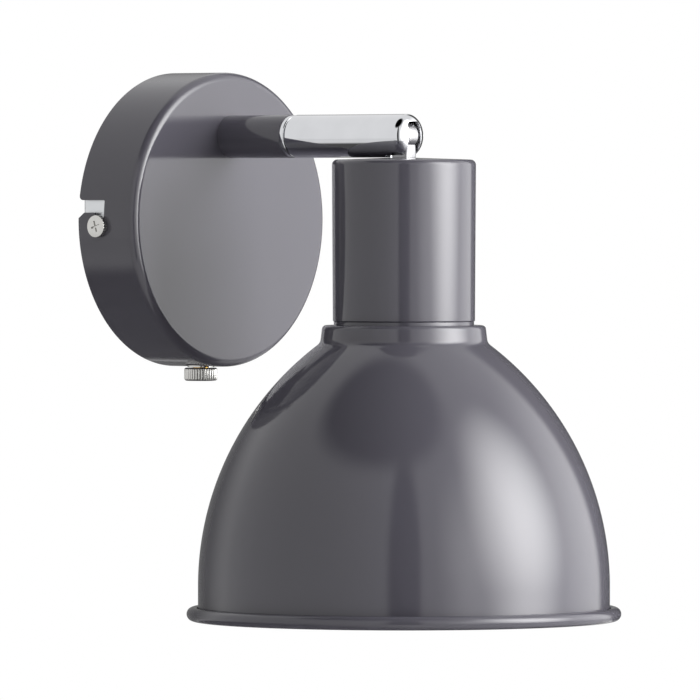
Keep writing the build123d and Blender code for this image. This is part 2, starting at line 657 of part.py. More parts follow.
def fork_slot():
    """Cutter for the fork: open below and at the end, with rounded upper corners."""
    front = DOME_START + DOME_DEPTH + OVERCUT
    length = FORK_SLOT_BACK + front
    depth = FORK_SLOT_TOP + ARM_RADIUS + OVERCUT
    block = Box(FORK_SLOT_WIDTH, length, depth)
    upper = block.edges().filter_by(Axis.Y).sort_by(Axis.Z)[-2:]
    block = fillet(upper, FORK_SLOT_CORNER)
    return on_head(Pos(0, (FORK_SLOT_BACK - front) / 2, FORK_SLOT_TOP - depth / 2) * block)


def pivot_cut():
    """Cutter for the pivot screw: countersunk on the right, blind on the left."""
    shank = rod(PIVOT_DIAMETER / 2 + THREAD_FIT, PIVOT_SKIN - ARM_RADIUS, ARM_RADIUS + OVERCUT)
    sink = rod(PIVOT_HEAD_DIAMETER / 2 + LOOSE_FIT, ARM_RADIUS - PIVOT_HEAD_DEPTH, ARM_RADIUS + OVERCUT)
    return on_head(Rot(0, 90, 0) * (shank + sink))


def arm_tube():
    """Chrome tube: an inner collar that runs on the bush, and the fork's slot at its end."""
    collar = THREAD_RADIUS + RUNNING_FIT
    bore = ARM_BORE_RADIUS
    step = ARM_START + COLLAR_LENGTH
    tube = on_arm(turned([(collar, ARM_START), (ARM_RADIUS, ARM_START), (ARM_RADIUS, ARM_END),
                          (bore, ARM_END), (bore, step), (collar, step)], {1: ARM_EDGE_RADIUS}))
    return tube - fork_slot() - pivot_cut()


def arm_knuckle():
    """Domed plug in the arm's end: shank, elliptical dome, fork slot and cable way."""
    back = ARM_END - PLUG_SHANK_LENGTH
    base_height = ARM_END + SEAT_GAP
    shank = rod(ARM_BORE_RADIUS - SEAT_GAP, back, ARM_END + PLUG_LAP)
    half = EllipticalCenterArc((0, base_height), ARM_RADIUS, DOME_DEPTH, start_angle=0, arc_size=90)
    base = Line(half @ 1, (0, base_height))
    side = Line((0, base_height), half @ 0)
    dome = revolve(Plane.XZ * make_face([half, base, side]), Axis.Z)
    way = rod(PLUG_CABLE_BORE / 2, back - OVERCUT, ARM_REACH)
    return on_arm(shank + dome - way) - fork_slot() - pivot_cut()


def pivot_screw():
    """Slotted screw through the fork and the lug, its head sunk in the right side."""
    tip = PIVOT_SKIN - ARM_RADIUS + PIVOT_TIP_GAP
    seat = ARM_RADIUS - PIVOT_HEAD_DEPTH + SEAT_GAP
    head = math.sqrt(ARM_RADIUS ** 2 - (PIVOT_HEAD_DIAMETER / 2) ** 2)
    screw = rod(PIVOT_DIAMETER / 2, tip, seat) + rod(PIVOT_HEAD_DIAMETER / 2, seat, head)
    screw = screw - Pos(0, 0, head) * Box(2 * PIVOT_HEAD_DIAMETER, PIVOT_DRIVE_WIDTH, 2 * PIVOT_DRIVE_DEPTH)
    return on_head(Rot(0, 90, 0) * screw)


def arm_cable():
    """Cable on the swivel's own axis, from the wall cup to the knuckle."""
    end = ARM_REACH - FORK_SLOT_BACK - ARM_CABLE_GAP
    return on_arm(rod(ARM_CABLE_DIAMETER / 2, NIPPLE_START, end))


# ---------------------------------------------------------------- head
def knuckle_stem():
    """Lug with its eye, its bar, and the bored stem that holds the cup."""
    eye = Rot(0, 90, 0) * Cylinder(LUG_EYE_DIAMETER / 2, LUG_THICKNESS)
    eye = chamfer(eye.edges().filter_by(GeomType.CIRCLE), LUG_EYE_CHAMFER)
    bar = Pos(0, 0, CUP_TOP / 2) * Box(LUG_THICKNESS, LUG_BAR_DEPTH, -CUP_TOP)
    stem = rod(THREAD_RADIUS, STEM_BOTTOM, CUP_TOP)
    lug = eye + bar + stem
    lug = lug - Rot(0, 90, 0) * Cylinder(PIVOT_DIAMETER / 2 + RUNNING_FIT, 2 * LUG_THICKNESS)
    bore = rod(STEM_BORE_DIAMETER / 2, STEM_BOTTOM - OVERCUT, STEM_BOTTOM + STEM_BORE_DEPTH)
    return on_head(lug - bore)


def holder_cup():
    """Drawn cup over the lampholder: slightly crowned top, walls that narrow a little downwards."""
    top = CUP_TOP_DIAMETER / 2
    foot = CUP_MOUTH_DIAMETER / 2
    hole = THREAD_RADIUS + THREAD_FIT
    under = CUP_TOP - CUP_TOP_THICKNESS
    shell = turned([(hole, CUP_TOP), (top, CUP_TOP - CUP_CROWN), (foot, CUP_MOUTH),
                    (CUP_BORE_RADIUS, CUP_MOUTH), (top - CUP_WALL, under), (hole, under)],
                   {1: CUP_TOP_RADIUS, 2: CUP_MOUTH_RADIUS, 4: CUP_INSIDE_RADIUS})
    return on_head(shell)


def stem_washer():
    """Washer under the cup's top."""
    high = CUP_TOP - CUP_TOP_THICKNESS - SEAT_GAP
    return on_head(sleeve(WASHER_DIAMETER / 2, THREAD_RADIUS + LOOSE_FIT, high - WASHER_THICKNESS, high))


def stem_nut():
    """Nut on the stem that clamps the cup."""
    low = STEM_NUT_TOP - NUT_THICKNESS
    return on_head(hex_nut(NUT_WIDTH, NUT_THICKNESS, THREAD_RADIUS + THREAD_FIT, low))


def neck_ring():
    """Spacer in the gap between the cup and the shade, with a spigot in the cup's mouth."""
    outer = NECK_DIAMETER / 2
    inner = CUP_BORE_RADIUS - NECK_WALL
    spigot = CUP_BORE_RADIUS - LOOSE_FIT
    low = SHADE_TOP + SEAT_GAP
    high = CUP_MOUTH - SEAT_GAP
    return on_head(turned([(inner, low), (outer, low), (outer, high), (spigot, high),
                           (spigot, high + NECK_SPIGOT), (inner, high + NECK_SPIGOT)]))


def shade():
    """Spun sheet: collar, dome and a rim curled outwards until it nearly closes."""
    curl = RIM_CURL_DIAMETER / 2
    wall = SHADE_DIAMETER / 2 - RIM_CURL_DIAMETER
    centre = wall + SHADE_SHEET - DOME_RADIUS
    foot_height = SHADE_TOP - SHADE_COLLAR_HEIGHT
    level = foot_height - math.sqrt(DOME_RADIUS ** 2 - (SHADE_COLLAR_FOOT_DIAMETER / 2 - centre) ** 2)
    bend = (SHADE_COLLAR_TOP_DIAMETER / 2 - SHADE_COLLAR_RADIUS, SHADE_TOP - SHADE_COLLAR_RADIUS)

    def face_line(inset):
        """One face of the sheet from the hole to the curl's tip; inset is its distance inwards."""
        radius = DOME_RADIUS - inset
        foot = SHADE_COLLAR_FOOT_DIAMETER / 2 - inset
        angle = math.degrees(math.acos((foot - centre) / radius))
        plate = Line((SHADE_HOLE_DIAMETER / 2, SHADE_TOP - inset), (bend[0], SHADE_TOP - inset))
        corner = CenterArc(bend, SHADE_COLLAR_RADIUS - inset, 0, 90)
        dome = CenterArc((centre, level), radius, 0, angle)
        side = Line(corner @ 0, dome @ 1)
        skirt = Line(dome @ 0, (wall + SHADE_SHEET - inset, RIM_CENTRE))
        rim = CenterArc((wall + curl, RIM_CENTRE), curl - SHADE_SHEET + inset, 180, RIM_CURL_TURN)
        return [plate, corner, side, dome, skirt, rim]

    outside = face_line(0)
    inside = face_line(SHADE_SHEET)
    ends = [Line(outside[0] @ 0, inside[0] @ 0), Line(outside[-1] @ 1, inside[-1] @ 1)]
    return on_head(revolve(Plane.XZ * make_face(outside + inside + ends), Axis.Z))


def lampholder_cap():
    """Moulded cap screwed to the stem, with a threaded boss."""
    outer = HOLDER_DIAMETER / 2
    boss = HOLDER_BOSS_DIAMETER / 2
    bore = THREAD_RADIUS + THREAD_FIT
    boss_low = HOLDER_TOP - HOLDER_BOSS_LENGTH
    shoulder = HOLDER_TOP - HOLDER_SHOULDER_DROP
    inside = HOLDER_BORE_RADIUS
    return on_head(turned([(bore, HOLDER_TOP), (boss, HOLDER_TOP), (boss, HOLDER_TOP - HOLDER_BOSS_RISE),
                           (outer, shoulder), (outer, HOLDER_SPLIT), (inside, HOLDER_SPLIT),
                           (inside, HOLDER_TOP - HOLDER_INSIDE_DROP), (boss, boss_low), (bore, boss_low)],
                          {3: HOLDER_SHOULDER_RADIUS, 6: HOLDER_INSIDE_RADIUS}))


def lampholder_body():
    """Moulded barrel through the shade's hole, with the flange that the shade is pulled up to."""
    outer = HOLDER_DIAMETER / 2
    flange = HOLDER_FLANGE_DIAMETER / 2
    seat = SHADE_TOP + SEAT_GAP
    inside = HOLDER_BORE_RADIUS
    lip = inside - HOLDER_LIP_WIDTH
    lip_top = HOLDER_MOUTH + HOLDER_LIP_HEIGHT
    flange_top = seat + HOLDER_FLANGE_THICKNESS
    return on_head(turned([(inside, HOLDER_BODY_TOP), (outer, HOLDER_BODY_TOP), (outer, flange_top),
                           (flange, flange_top), (flange, seat), (outer, seat), (outer, HOLDER_MOUTH),
                           (lip, HOLDER_MOUTH), (lip, lip_top), (inside, lip_top)], {6: HOLDER_MOUTH_EDGE}))


def shade_clamp_ring():
    """Ribbed ring nut that pulls the shade up against the lampholder's flange."""
    high = SHADE_FLOOR - SEAT_GAP
    low = high - CLAMP_RING_HEIGHT
    radius = CLAMP_RING_DIAMETER / 2
    barrel = radius - CLAMP_FLANGE_WIDTH
    flange_low = high - CLAMP_FLANGE_THICKNESS
    bore = HOLDER_DIAMETER / 2 + THREAD_FIT
    ring = turned([(bore, low), (barrel, low), (barrel, flange_low - CLAMP_FLANGE_SLOPE),
                   (radius, flange_low), (radius, high), (bore, high)])
    rib_height = CLAMP_RING_HEIGHT - CLAMP_FLANGE_THICKNESS
    rib = Pos(barrel, 0, low + rib_height / 2) * Box(CLAMP_RIB_DEPTH, CLAMP_RIB_WIDTH, rib_height)
    ribs = [Rot(0, 0, 360 * step / CLAMP_RING_RIBS) * rib for step in range(CLAMP_RING_RIBS)]
    return on_head(ring + ribs)


def rounded_thread(radius, top, length):
    """Corners of a rolled Edison thread's outline, seen as rings, from top to bottom."""
    turns = int(length / THREAD_PITCH)
    root = radius - THREAD_DEPTH
    corners = []
    for turn in range(turns):
        start = top - turn * THREAD_PITCH
        corners += [(root, start), (radius, start - THREAD_PITCH * THREAD_CREST_START),
                    (radius, start - THREAD_PITCH * THREAD_CREST_END)]
    corners.append((root, top - turns * THREAD_PITCH))
    return corners


def socket_shell():
    """Threaded brass sleeve of the lampholder."""
    outside = rounded_thread(SHELL_DIAMETER / 2 + THREAD_DEPTH, INSERT_FACE - SEAT_GAP, SHELL_LENGTH)
    inside = [(radius - SHELL_SHEET, height) for radius, height in reversed(outside)]
    return on_head(turned(outside + inside))


def contact_insert():
    """Ceramic base that holds the contacts across the lampholder's bore."""
    insert = rod(HOLDER_BORE_RADIUS - LOOSE_FIT, INSERT_FACE, INSERT_TOP)
    well = rod(HOLDER_SCREW_WELL_DIAMETER / 2, INSERT_TOP - HOLDER_SCREW_WELL_DEPTH, INSERT_TOP + OVERCUT)
    wells = [Pos(side * HOLDER_SCREW_SPAN, 0, 0) * well for side in (-1, 1)]
    return on_head(insert - wells)


def centre_contact():
    """Sprung tongue, folded back under itself, whose button meets the bulb's tip."""
    half = CONTACT_SHEET / 2
    blade_height = CONTACT_TOP - CONTACT_FOLD_HEIGHT + half
    fold_height = CONTACT_FOLD_HEIGHT
    tongue = Pos(CONTACT_END + CONTACT_TONGUE_LENGTH / 2, 0, CONTACT_TOP - half)
    fold = Pos(CONTACT_END + half, 0, CONTACT_TOP - fold_height / 2)
    blade = Pos(CONTACT_END + CONTACT_BLADE_LENGTH / 2, 0, blade_height)
    button = rod(CONTACT_BUTTON_DIAMETER / 2, CONTACT_FACE, blade_height)
    return on_head(tongue * Box(CONTACT_TONGUE_LENGTH, CONTACT_WIDTH, CONTACT_SHEET)
                   + fold * Box(CONTACT_SHEET, CONTACT_WIDTH, fold_height)
                   + blade * Box(CONTACT_BLADE_LENGTH, CONTACT_WIDTH, CONTACT_SHEET) + button)


def holder_screws():
    """Terminal screws of the lampholder."""
    screw = slotted_screw(SMALL_SCREW_DIAMETER, HOLDER_SCREW_LENGTH, HOLDER_SCREW_HEAD_DIAMETER,
                          SMALL_HEAD_HEIGHT)
    seat = INSERT_TOP + LOOSE_FIT
    return [on_head(Pos(side * HOLDER_SCREW_SPAN, 0, seat) * screw) for side in (-1, 1)]


def holder_lead(side):
    """One wire from the stem's bore to its screw on the ceramic base."""
    start = STEM_BOTTOM + HOLDER_LEAD_ENTRY
    turn = start - HOLDER_LEAD_DROP
    end = INSERT_TOP + SMALL_HEAD_HEIGHT + 2 * LOOSE_FIT
    inner = side * HOLDER_LEAD_SPREAD
    outer = side * HOLDER_SCREW_SPAN
    points = [(inner, 0, start), (inner, 0, turn), (outer, 0, turn - HOLDER_LEAD_FALL), (outer, 0, end)]
    return on_head(wire(points, HOLDER_LEAD_BEND))


# ---------------------------------------------------------------- light bulb
def bulb_globe():
    """Opal glass bulb with a spherical end that runs into its neck."""
    radius = BULB_DIAMETER / 2
    neck = BULB_CAP_DIAMETER / 2 + BULB_NECK_LAP
    mouth = BULB_TIP - BULB_COLLAR_LENGTH
    centre = BULB_BOTTOM + radius
    angle = math.radians(BULB_JOINT_ANGLE)
    middle = (angle - math.pi / 2) / 2
    upwards = (-math.sin(angle), math.cos(angle))

    def face_arcs(inset):
        """Ball and shoulder of one face of the glass; inset is its distance inwards."""
        size = radius - inset
        joint = (size * math.cos(angle), centre + size * math.sin(angle))
        side = (size * math.cos(middle), centre + size * math.sin(middle))
        ball = ThreePointArc((0, centre - size), side, joint)
        return ball, TangentArc(joint, (neck - inset, mouth), tangent=upwards)

    outer_ball, outer_shoulder = face_arcs(0)
    inner_ball, inner_shoulder = face_arcs(BULB_GLASS)
    lip = Line(outer_shoulder @ 1, inner_shoulder @ 1)
    axis = Line(inner_ball @ 0, outer_ball @ 0)
    section = make_face([outer_ball, outer_shoulder, lip, inner_shoulder, inner_ball, axis])
    return on_head(revolve(Plane.XZ * section, Axis.Z))


def bulb_cap():
    """Nickel screw cap of the bulb, turned into the lampholder's sleeve."""
    outer = BULB_CAP_DIAMETER / 2
    top = BULB_TIP - CAP_SHOULDER_DROP
    bead = BEAD_DIAMETER / 2
    shoulder = outer - CAP_SHOULDER_WIDTH
    outside = rounded_thread(outer, top, BULB_CAP_LENGTH)
    foot = (outside[-1][0] - CAP_SHEET, outside[-1][1])
    return on_head(turned([(bead, top + BEAD_RISE), (shoulder, top + CAP_SHOULDER_RISE), *outside, foot,
                           (shoulder - CAP_SHEET, top), (bead, top + BEAD_RISE - CAP_SHOULDER_RISE)]))


def bulb_tip():
    """Glass-bead insulator and solder tip at the cap's end."""
    low = BULB_TIP - BEAD_DROP
    bead = BEAD_DIAMETER / 2 - BEAD_CLEARANCE
    tip = TIP_DIAMETER / 2
    seat = BULB_TIP - TIP_HEIGHT
    return on_head(turned([(0, low), (bead, low), (bead, low + BEAD_HEIGHT), (tip, seat),
                           (tip, BULB_TIP - TIP_EDGE_DROP), (0, BULB_TIP - TIP_CLEARANCE)]))


# ---------------------------------------------------------------- wires inside the wall cup
def cup_wires():
    """Wires of the wall cup: to the switch and back, load and neutral to the arm, and earth."""
    left, middle, right = pole_offsets()
    way = -BLOCK_WIRE_LINE
    edge = BLOCK_WIDTH / 2 - WIRE_INSERTION
    core = WIRE_DIAMETER / 2 + WIRE_PLAY
    end = -(NIPPLE_START - SEAT_GAP)
    switch_top = SWITCH_HEIGHT - SWITCH_BODY_OUTER + SEAT_GAP

    def to_switch(pole, side):
        """Wire from the block's lower edge to one side of the switch."""
        across = side * SWITCH_WIRE_SPAN
        return wire([(pole, way, -edge), (pole, way, -edge - WIRE_TAIL),
                     (across, -SWITCH_OFFSET, switch_top + WIRE_TAIL),
                     (across, -SWITCH_OFFSET, switch_top)], WIRE_BEND)

    def to_arm(pole, side, tail):
        """Wire from the block's upper edge to the nipple."""
        return wire([(pole, way, edge), (pole, way, edge + tail), (side * core, way, ARM_HEIGHT),
                     (side * core, end, ARM_HEIGHT)], UPPER_WIRE_BEND)

    head_top = BRACKET_THICKNESS + WASHER_THICKNESS + EARTH_HEAD_HEIGHT
    screw_y = -(head_top + EARTH_WIRE_GAP + WIRE_DIAMETER / 2)
    earth = wire([(-EARTH_SCREW_SPAN, screw_y, 0), (-EARTH_SCREW_SPAN, screw_y, EARTH_WIRE_RISE),
                  (left, way, EARTH_WIRE_CREST), (left, way, edge)], UPPER_WIRE_BEND)
    return {
        "lead_live": to_switch(left, -1),
        "lead_switched": to_switch(right, 1),
        "lead_load": to_arm(right, 1, LOAD_WIRE_TAIL),
        "lead_neutral": to_arm(middle, -1, NEUTRAL_WIRE_TAIL),
        "lead_earth": earth,
    }


# ---------------------------------------------------------------- write every node
save("rose_cover", rose_cover())
save("wall_bracket", wall_bracket())
save("cover_screws", side_screw(), opposite(side_screw()))
save("terminal_block", terminal_block())
save("terminal_screws", *terminal_screws())
save("block_screw", block_screw())
save("earth_screw", earth_screw())
save("earth_washer", earth_washer())
save("switch_body", switch_body())
save("switch_bush", switch_bush())
save("switch_nut", switch_nut())
save("switch_knob", switch_knob())
save("switch_spindle", switch_spindle())
save("arm_socket", arm_socket())
save("arm_nipple", arm_nipple())
save("nipple_washer", nipple_washer())
save("nipple_nut", nipple_nut())
save("swivel_ring", swivel_ring())
save("swivel_bush", swivel_bush())
save("wave_washer", wave_washer())
save("arm_tube", arm_tube())
save("arm_knuckle", arm_knuckle())
save("pivot_screw", pivot_screw())
save("arm_cable", arm_cable())
save("knuckle_stem", knuckle_stem())
save("stem_washer", stem_washer())
save("stem_nut", stem_nut())
save("holder_cup", holder_cup())
save("neck_ring", neck_ring())
save("shade", shade())
save("lampholder_cap", lampholder_cap())
save("lampholder_body", lampholder_body())
save("shade_clamp_ring", shade_clamp_ring())
save("socket_shell", socket_shell())
save("contact_insert", contact_insert())
save("centre_contact", centre_contact())
save("holder_screws", *holder_screws())
save("holder_lead_live", holder_lead(1))
save("holder_lead_neutral", holder_lead(-1))
save("bulb_globe", bulb_globe())
save("bulb_cap", bulb_cap())
save("bulb_tip", bulb_tip())
for node, lead in cup_wires().items():
    save(node, lead)
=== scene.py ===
import json
import math

import bmesh
import bpy
from bpy.props import FloatProperty, FloatVectorProperty, PointerProperty, StringProperty
from mathutils import Matrix, Vector

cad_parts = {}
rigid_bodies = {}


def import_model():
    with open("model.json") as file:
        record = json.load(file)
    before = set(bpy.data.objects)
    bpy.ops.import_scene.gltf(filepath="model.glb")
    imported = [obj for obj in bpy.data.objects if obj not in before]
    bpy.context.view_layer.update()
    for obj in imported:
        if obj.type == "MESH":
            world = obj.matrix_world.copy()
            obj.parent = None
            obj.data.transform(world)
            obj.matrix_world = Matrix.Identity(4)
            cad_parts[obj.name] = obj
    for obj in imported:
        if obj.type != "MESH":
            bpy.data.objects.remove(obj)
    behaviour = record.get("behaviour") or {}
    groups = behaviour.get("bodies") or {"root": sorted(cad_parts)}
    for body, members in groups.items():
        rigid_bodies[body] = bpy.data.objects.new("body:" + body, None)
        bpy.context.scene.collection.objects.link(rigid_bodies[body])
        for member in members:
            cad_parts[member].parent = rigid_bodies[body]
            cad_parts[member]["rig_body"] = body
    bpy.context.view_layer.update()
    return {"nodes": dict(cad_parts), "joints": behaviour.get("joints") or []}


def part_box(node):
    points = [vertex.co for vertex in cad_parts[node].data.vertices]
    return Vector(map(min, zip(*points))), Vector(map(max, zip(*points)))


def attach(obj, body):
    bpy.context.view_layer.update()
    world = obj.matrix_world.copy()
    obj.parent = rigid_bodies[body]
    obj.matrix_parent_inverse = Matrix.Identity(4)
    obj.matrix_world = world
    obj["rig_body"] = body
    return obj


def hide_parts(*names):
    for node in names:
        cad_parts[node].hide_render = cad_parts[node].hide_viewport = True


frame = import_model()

bl_info = {
    "name": "Wall Reading Lamp",
    "version": (1, 0, 0),
    "blender": (4, 5, 0),
    "location": "View3D > Sidebar > Lamp",
    "description": "Builds and finishes a wall reading lamp round its construction model",
    "category": "Add Mesh",
}

MM = 0.001


# ---------------------------------------------------------------- places read from the frame
def extent(node):
    """Lowest and highest corner of a CAD node."""
    return [Vector(corner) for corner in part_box(node)]


ROSE_LOW, ROSE_HIGH = extent("rose_cover")
SCREWS_LOW, SCREWS_HIGH = extent("cover_screws")
KNOB_LOW, KNOB_HIGH = extent("switch_knob")
SOCKET_LOW, SOCKET_HIGH = extent("arm_socket")
RING_LOW, RING_HIGH = extent("swivel_ring")
TUBE_LOW, TUBE_HIGH = extent("arm_tube")
KNUCKLE_BACK = -extent("arm_knuckle")[1].y
STEM_LOW, STEM_HIGH = extent("knuckle_stem")
STEM_TOP = extent("holder_cup")[1].z
NECK_LOW, NECK_HIGH = extent("neck_ring")
SHADE_LOW, SHADE_HIGH = extent("shade")
GLOBE_LOW, GLOBE_HIGH = extent("bulb_globe")
PIVOT = Vector(next(joint["pos_m"] for joint in frame["joints"] if joint["name"] == "head_tilt"))
ARM_HEIGHT = (SOCKET_LOW.z + SOCKET_HIGH.z) / 2
KNOB_DEPTH = (KNOB_LOW.y + KNOB_HIGH.y) / 2

# ---------------------------------------------------------------- sizes that a user wouldn't change
CLOSE = 0.02 * MM               # gap between pieces that sit on each other
OVERCUT = 1.0 * MM              # how far a cutter starts outside the face that it cuts
THREAD_BORE = 5.05 * MM         # radius of the holes round the 10 mm threads
THREAD_RADIUS = 5.0 * MM
FINE_EDGE = 0.12 * MM           # rounding of cut edges in sheet and tube
DOME_EDGE = 0.18 * MM           # rounding of cut edges in the dome

CATCH_MOUTH_RADIUS = 2.0 * MM   # upper corner of the catch's mouth
CATCH_INNER_RADIUS = 0.5 * MM   # corner where the mouth turns into the leg
CATCH_SLANT = 2.9 * MM          # length of the slant under the mouth
CATCH_SLANT_DROP = 2.2 * MM
CATCH_CUT = 9.0 * MM
ROSE_HOLE = 5.2 * MM            # radius of the holes for the arm and the switch
ROSE_INNER_BREAK = 0.15 * MM    # broken edge inside the cup's back
ROSE_OUTER_BREAK = 0.25 * MM    # rounded edge outside the cup's back

SCREW_RIBS = 24
SCREW_RIB_DEPTH = 0.4 * MM
SCREW_SHANK_RADIUS = 2.0 * MM
SCREW_SHANK_LENGTH = 8.0 * MM
SCREW_EDGE = 0.35 * MM
CROSS_REACH = 2.1 * MM          # half the length of a bar of the cross recess
CROSS_HALF_WIDTH = 0.35 * MM
CROSS_DEPTH = 0.7 * MM
CROSS_TURNS = (18, 108)         # directions of the cross's bars in degrees

KNOB_RADIUS = 6.25 * MM
KNOB_RIBS = 36
KNOB_RIB_DEPTH = 0.42 * MM
KNOB_EDGE = 1.0 * MM            # radius of the knob's lower edge
KNOB_BACK_EDGE = ((0.5, 0.0), (0.1, 0.35), (0.0, 0.55))  # millimetres in from its side and down from its top
KNURL_ROUNDNESS = 0.55          # 1 gives half-round ribs, and less gives flatter ones
STEPS_PER_RIB = 10

SOCKET_EDGE = 0.3 * MM
RING_WIDTH = 2.0 * MM           # width of the ring's bright band
RING_HUB_STEP = 1.3 * MM        # how far the hub beside the band is set in
RING_EDGES = {1: 0.3 * MM, 2: 0.55 * MM}
TUBE_EDGE = 0.5 * MM
TUBE_COLLAR_LENGTH = 6.0 * MM
FORK_BELOW = 30.0 * MM          # how far the slot's cutter runs out below and in front of the pivot
FORK_FRONT = 12.0 * MM
PIVOT_SINK_RADIUS = 3.5 * MM
PIVOT_SINK_DEPTH = 2.0 * MM
CABLE_WAY_RADIUS = 2.7 * MM
CABLE_WAY_END = 3.0 * MM        # solid depth between the cable's way and the dome
LUG_HALF_THICKNESS = 3.25 * MM
BAR_HALF_DEPTH = 3.7 * MM
BAR_SINK = 1.0 * MM             # how far the lug's bar runs into the cup's top
STEM_BORE = 2.5 * MM
STEM_TOP_GAP = 0.3 * MM
STEM_TURNS = 12
STEM_PITCH = 1.0 * MM
STEM_THREAD = ((-0.5, 0.0), (0.0, 0.45), (0.0, 0.6))    # millimetres out from the crest and up, for one turn

CUP_TOP_SHEET = 2.4 * MM
CUP_EDGES = {2: 2.0 * MM, 3: 0.5 * MM, 4: 0.4 * MM, 5: 1.0 * MM}
NECK_PLAY = 0.2 * MM
NECK_WALL = 1.4 * MM
NECK_EDGE = 0.2 * MM
SHADE_HOLE = 20.0 * MM
COLLAR_EDGE = 1.6 * MM          # radius of the collar's upper edge
GLOBE_RADIUS = 30.0 * MM
GLOBE_NECK = 13.4 * MM
GLOBE_GLASS = 1.0 * MM
GLOBE_JOINT = 48                # height on the ball, in degrees, where the neck begins

TURN_STEPS = 192
FINE_TURN_STEPS = 256
SHADE_TURN_STEPS = 320
SMOOTH_ANGLE = math.radians(35)
BEVEL_ANGLE = math.radians(50)
HALF_TURN = math.pi
QUARTER_TURN = math.pi / 2
NO_RADIUS = 1e-7                # a ring this small is one point on the axis

# ---------------------------------------------------------------- places of the lights and cards
# angles in degrees, sizes in metres; a card is only in reflections, where it shines or holds light back
BOXES = {
    "key_box": dict(azimuth=24, elevation=16, distance=1.0, size=(0.6, 0.7)),
    "top_box": dict(azimuth=-20, elevation=84, distance=0.9, size=(0.5, 0.5)),
}
TOP_BOX_POWER = 1.2
SHINES = {
    "key_shine": dict(azimuth=20, elevation=17, distance=1.2, size=(1.62, 2.4)),
    "side_shine": dict(azimuth=60, elevation=8, distance=1.3, size=(2.6, 2.4)),
    "front_shine": dict(azimuth=-12, elevation=8, distance=1.3, size=(1.1, 2.0)),
}
SIDE_SHINE = 1.8
FLAGS = {
    "camera_flag": dict(azimuth=-50, elevation=2, distance=0.9, size=(0.36, 2.4), passing=0.0, core=0.55),
    "ceiling_flag": dict(azimuth=-80, elevation=68, distance=0.95, size=(1.5, 1.15), passing=0.0, core=0.6),
    "back_flag": dict(azimuth=148, elevation=-2, distance=0.95, size=(2.0, 1.5), passing=0.2, core=0.3),
    "right_flag": dict(azimuth=104, elevation=12, distance=0.9, size=(0.75, 1.7), passing=0.1, core=0.6),
}
FLOOR_FLAG = dict(azimuth=0, elevation=-90, distance=0.34, size=(1.6, 1.2), passing=0.1, core=0.6)
AIM = Vector((0, PIVOT.y, -0.06))
BEHIND = Vector((0, 0.25, -0.06))
FLOOR_RADIUS = 2.2
FLOOR_GLOW = 0.86               # share of the floor's white that the camera and reflections see without light
SENSOR_WIDTH = 36.0
VIEW_END = 50.0


# ---------------------------------------------------------------- settings
class LampRoseSettings(bpy.types.PropertyGroup):
    """Sizes of the wall cup."""
    radius: FloatProperty(name="Radius", description="Outer radius of the wall cup", unit="LENGTH",
                          default=(ROSE_HIGH.x - ROSE_LOW.x) / 2)
    depth: FloatProperty(name="Depth", description="How far the cup stands off the wall", unit="LENGTH",
                         default=-ROSE_LOW.y)
    edge: FloatProperty(name="Edge Radius", description="Outer radius of the drawn front edge", unit="LENGTH",
                        default=3.2 * MM)
    sheet: FloatProperty(name="Sheet", description="Thickness of the steel sheet", unit="LENGTH",
                         default=1.0 * MM)
    catch_width: FloatProperty(name="Catch Width", description="Width of the L-shaped catch", unit="LENGTH",
                               default=4.6 * MM)
    catch_depth: FloatProperty(name="Catch Depth", description="Distance of the catch's leg from the wall",
                               unit="LENGTH", default=10.4 * MM)
    mouth_rise: FloatProperty(name="Mouth Rise", unit="LENGTH", default=5.0 * MM,
                              description="Height of the catch's mouth over the cup's centre")
    screw_drop: FloatProperty(name="Screw Drop", description="Depth of the screw's seat under the cup's centre",
                              unit="LENGTH", default=2.4 * MM)


class LampArmSettings(bpy.types.PropertyGroup):
    """Sizes of the arm and its knuckle."""
    radius: FloatProperty(name="Radius", description="Outer radius of the arm", unit="LENGTH",
                          default=(SOCKET_HIGH.x - SOCKET_LOW.x) / 2)
    wall: FloatProperty(name="Wall", description="Wall of the arm's tube", unit="LENGTH", default=1.5 * MM)
    dome_depth: FloatProperty(name="Dome Depth", description="Depth of the knuckle's dome", unit="LENGTH",
                              default=4.3 * MM)
    slot_width: FloatProperty(name="Slot Width", description="Width of the fork's slot", unit="LENGTH",
                              default=7.1 * MM)
    slot_top: FloatProperty(name="Slot Top", description="Height of the slot's top over the pivot",
                            unit="LENGTH", default=5.3 * MM)
    slot_back: FloatProperty(name="Slot Back", description="How far the slot reaches behind the pivot",
                             unit="LENGTH", default=6.0 * MM)
    slot_corner: FloatProperty(name="Slot Corner", description="Radius of the slot's upper corners",
                               unit="LENGTH", default=2.0 * MM)
    eye_edge: FloatProperty(name="Eye Edge", description="Rounding of the lug's edges", unit="LENGTH",
                            default=1.5 * MM)


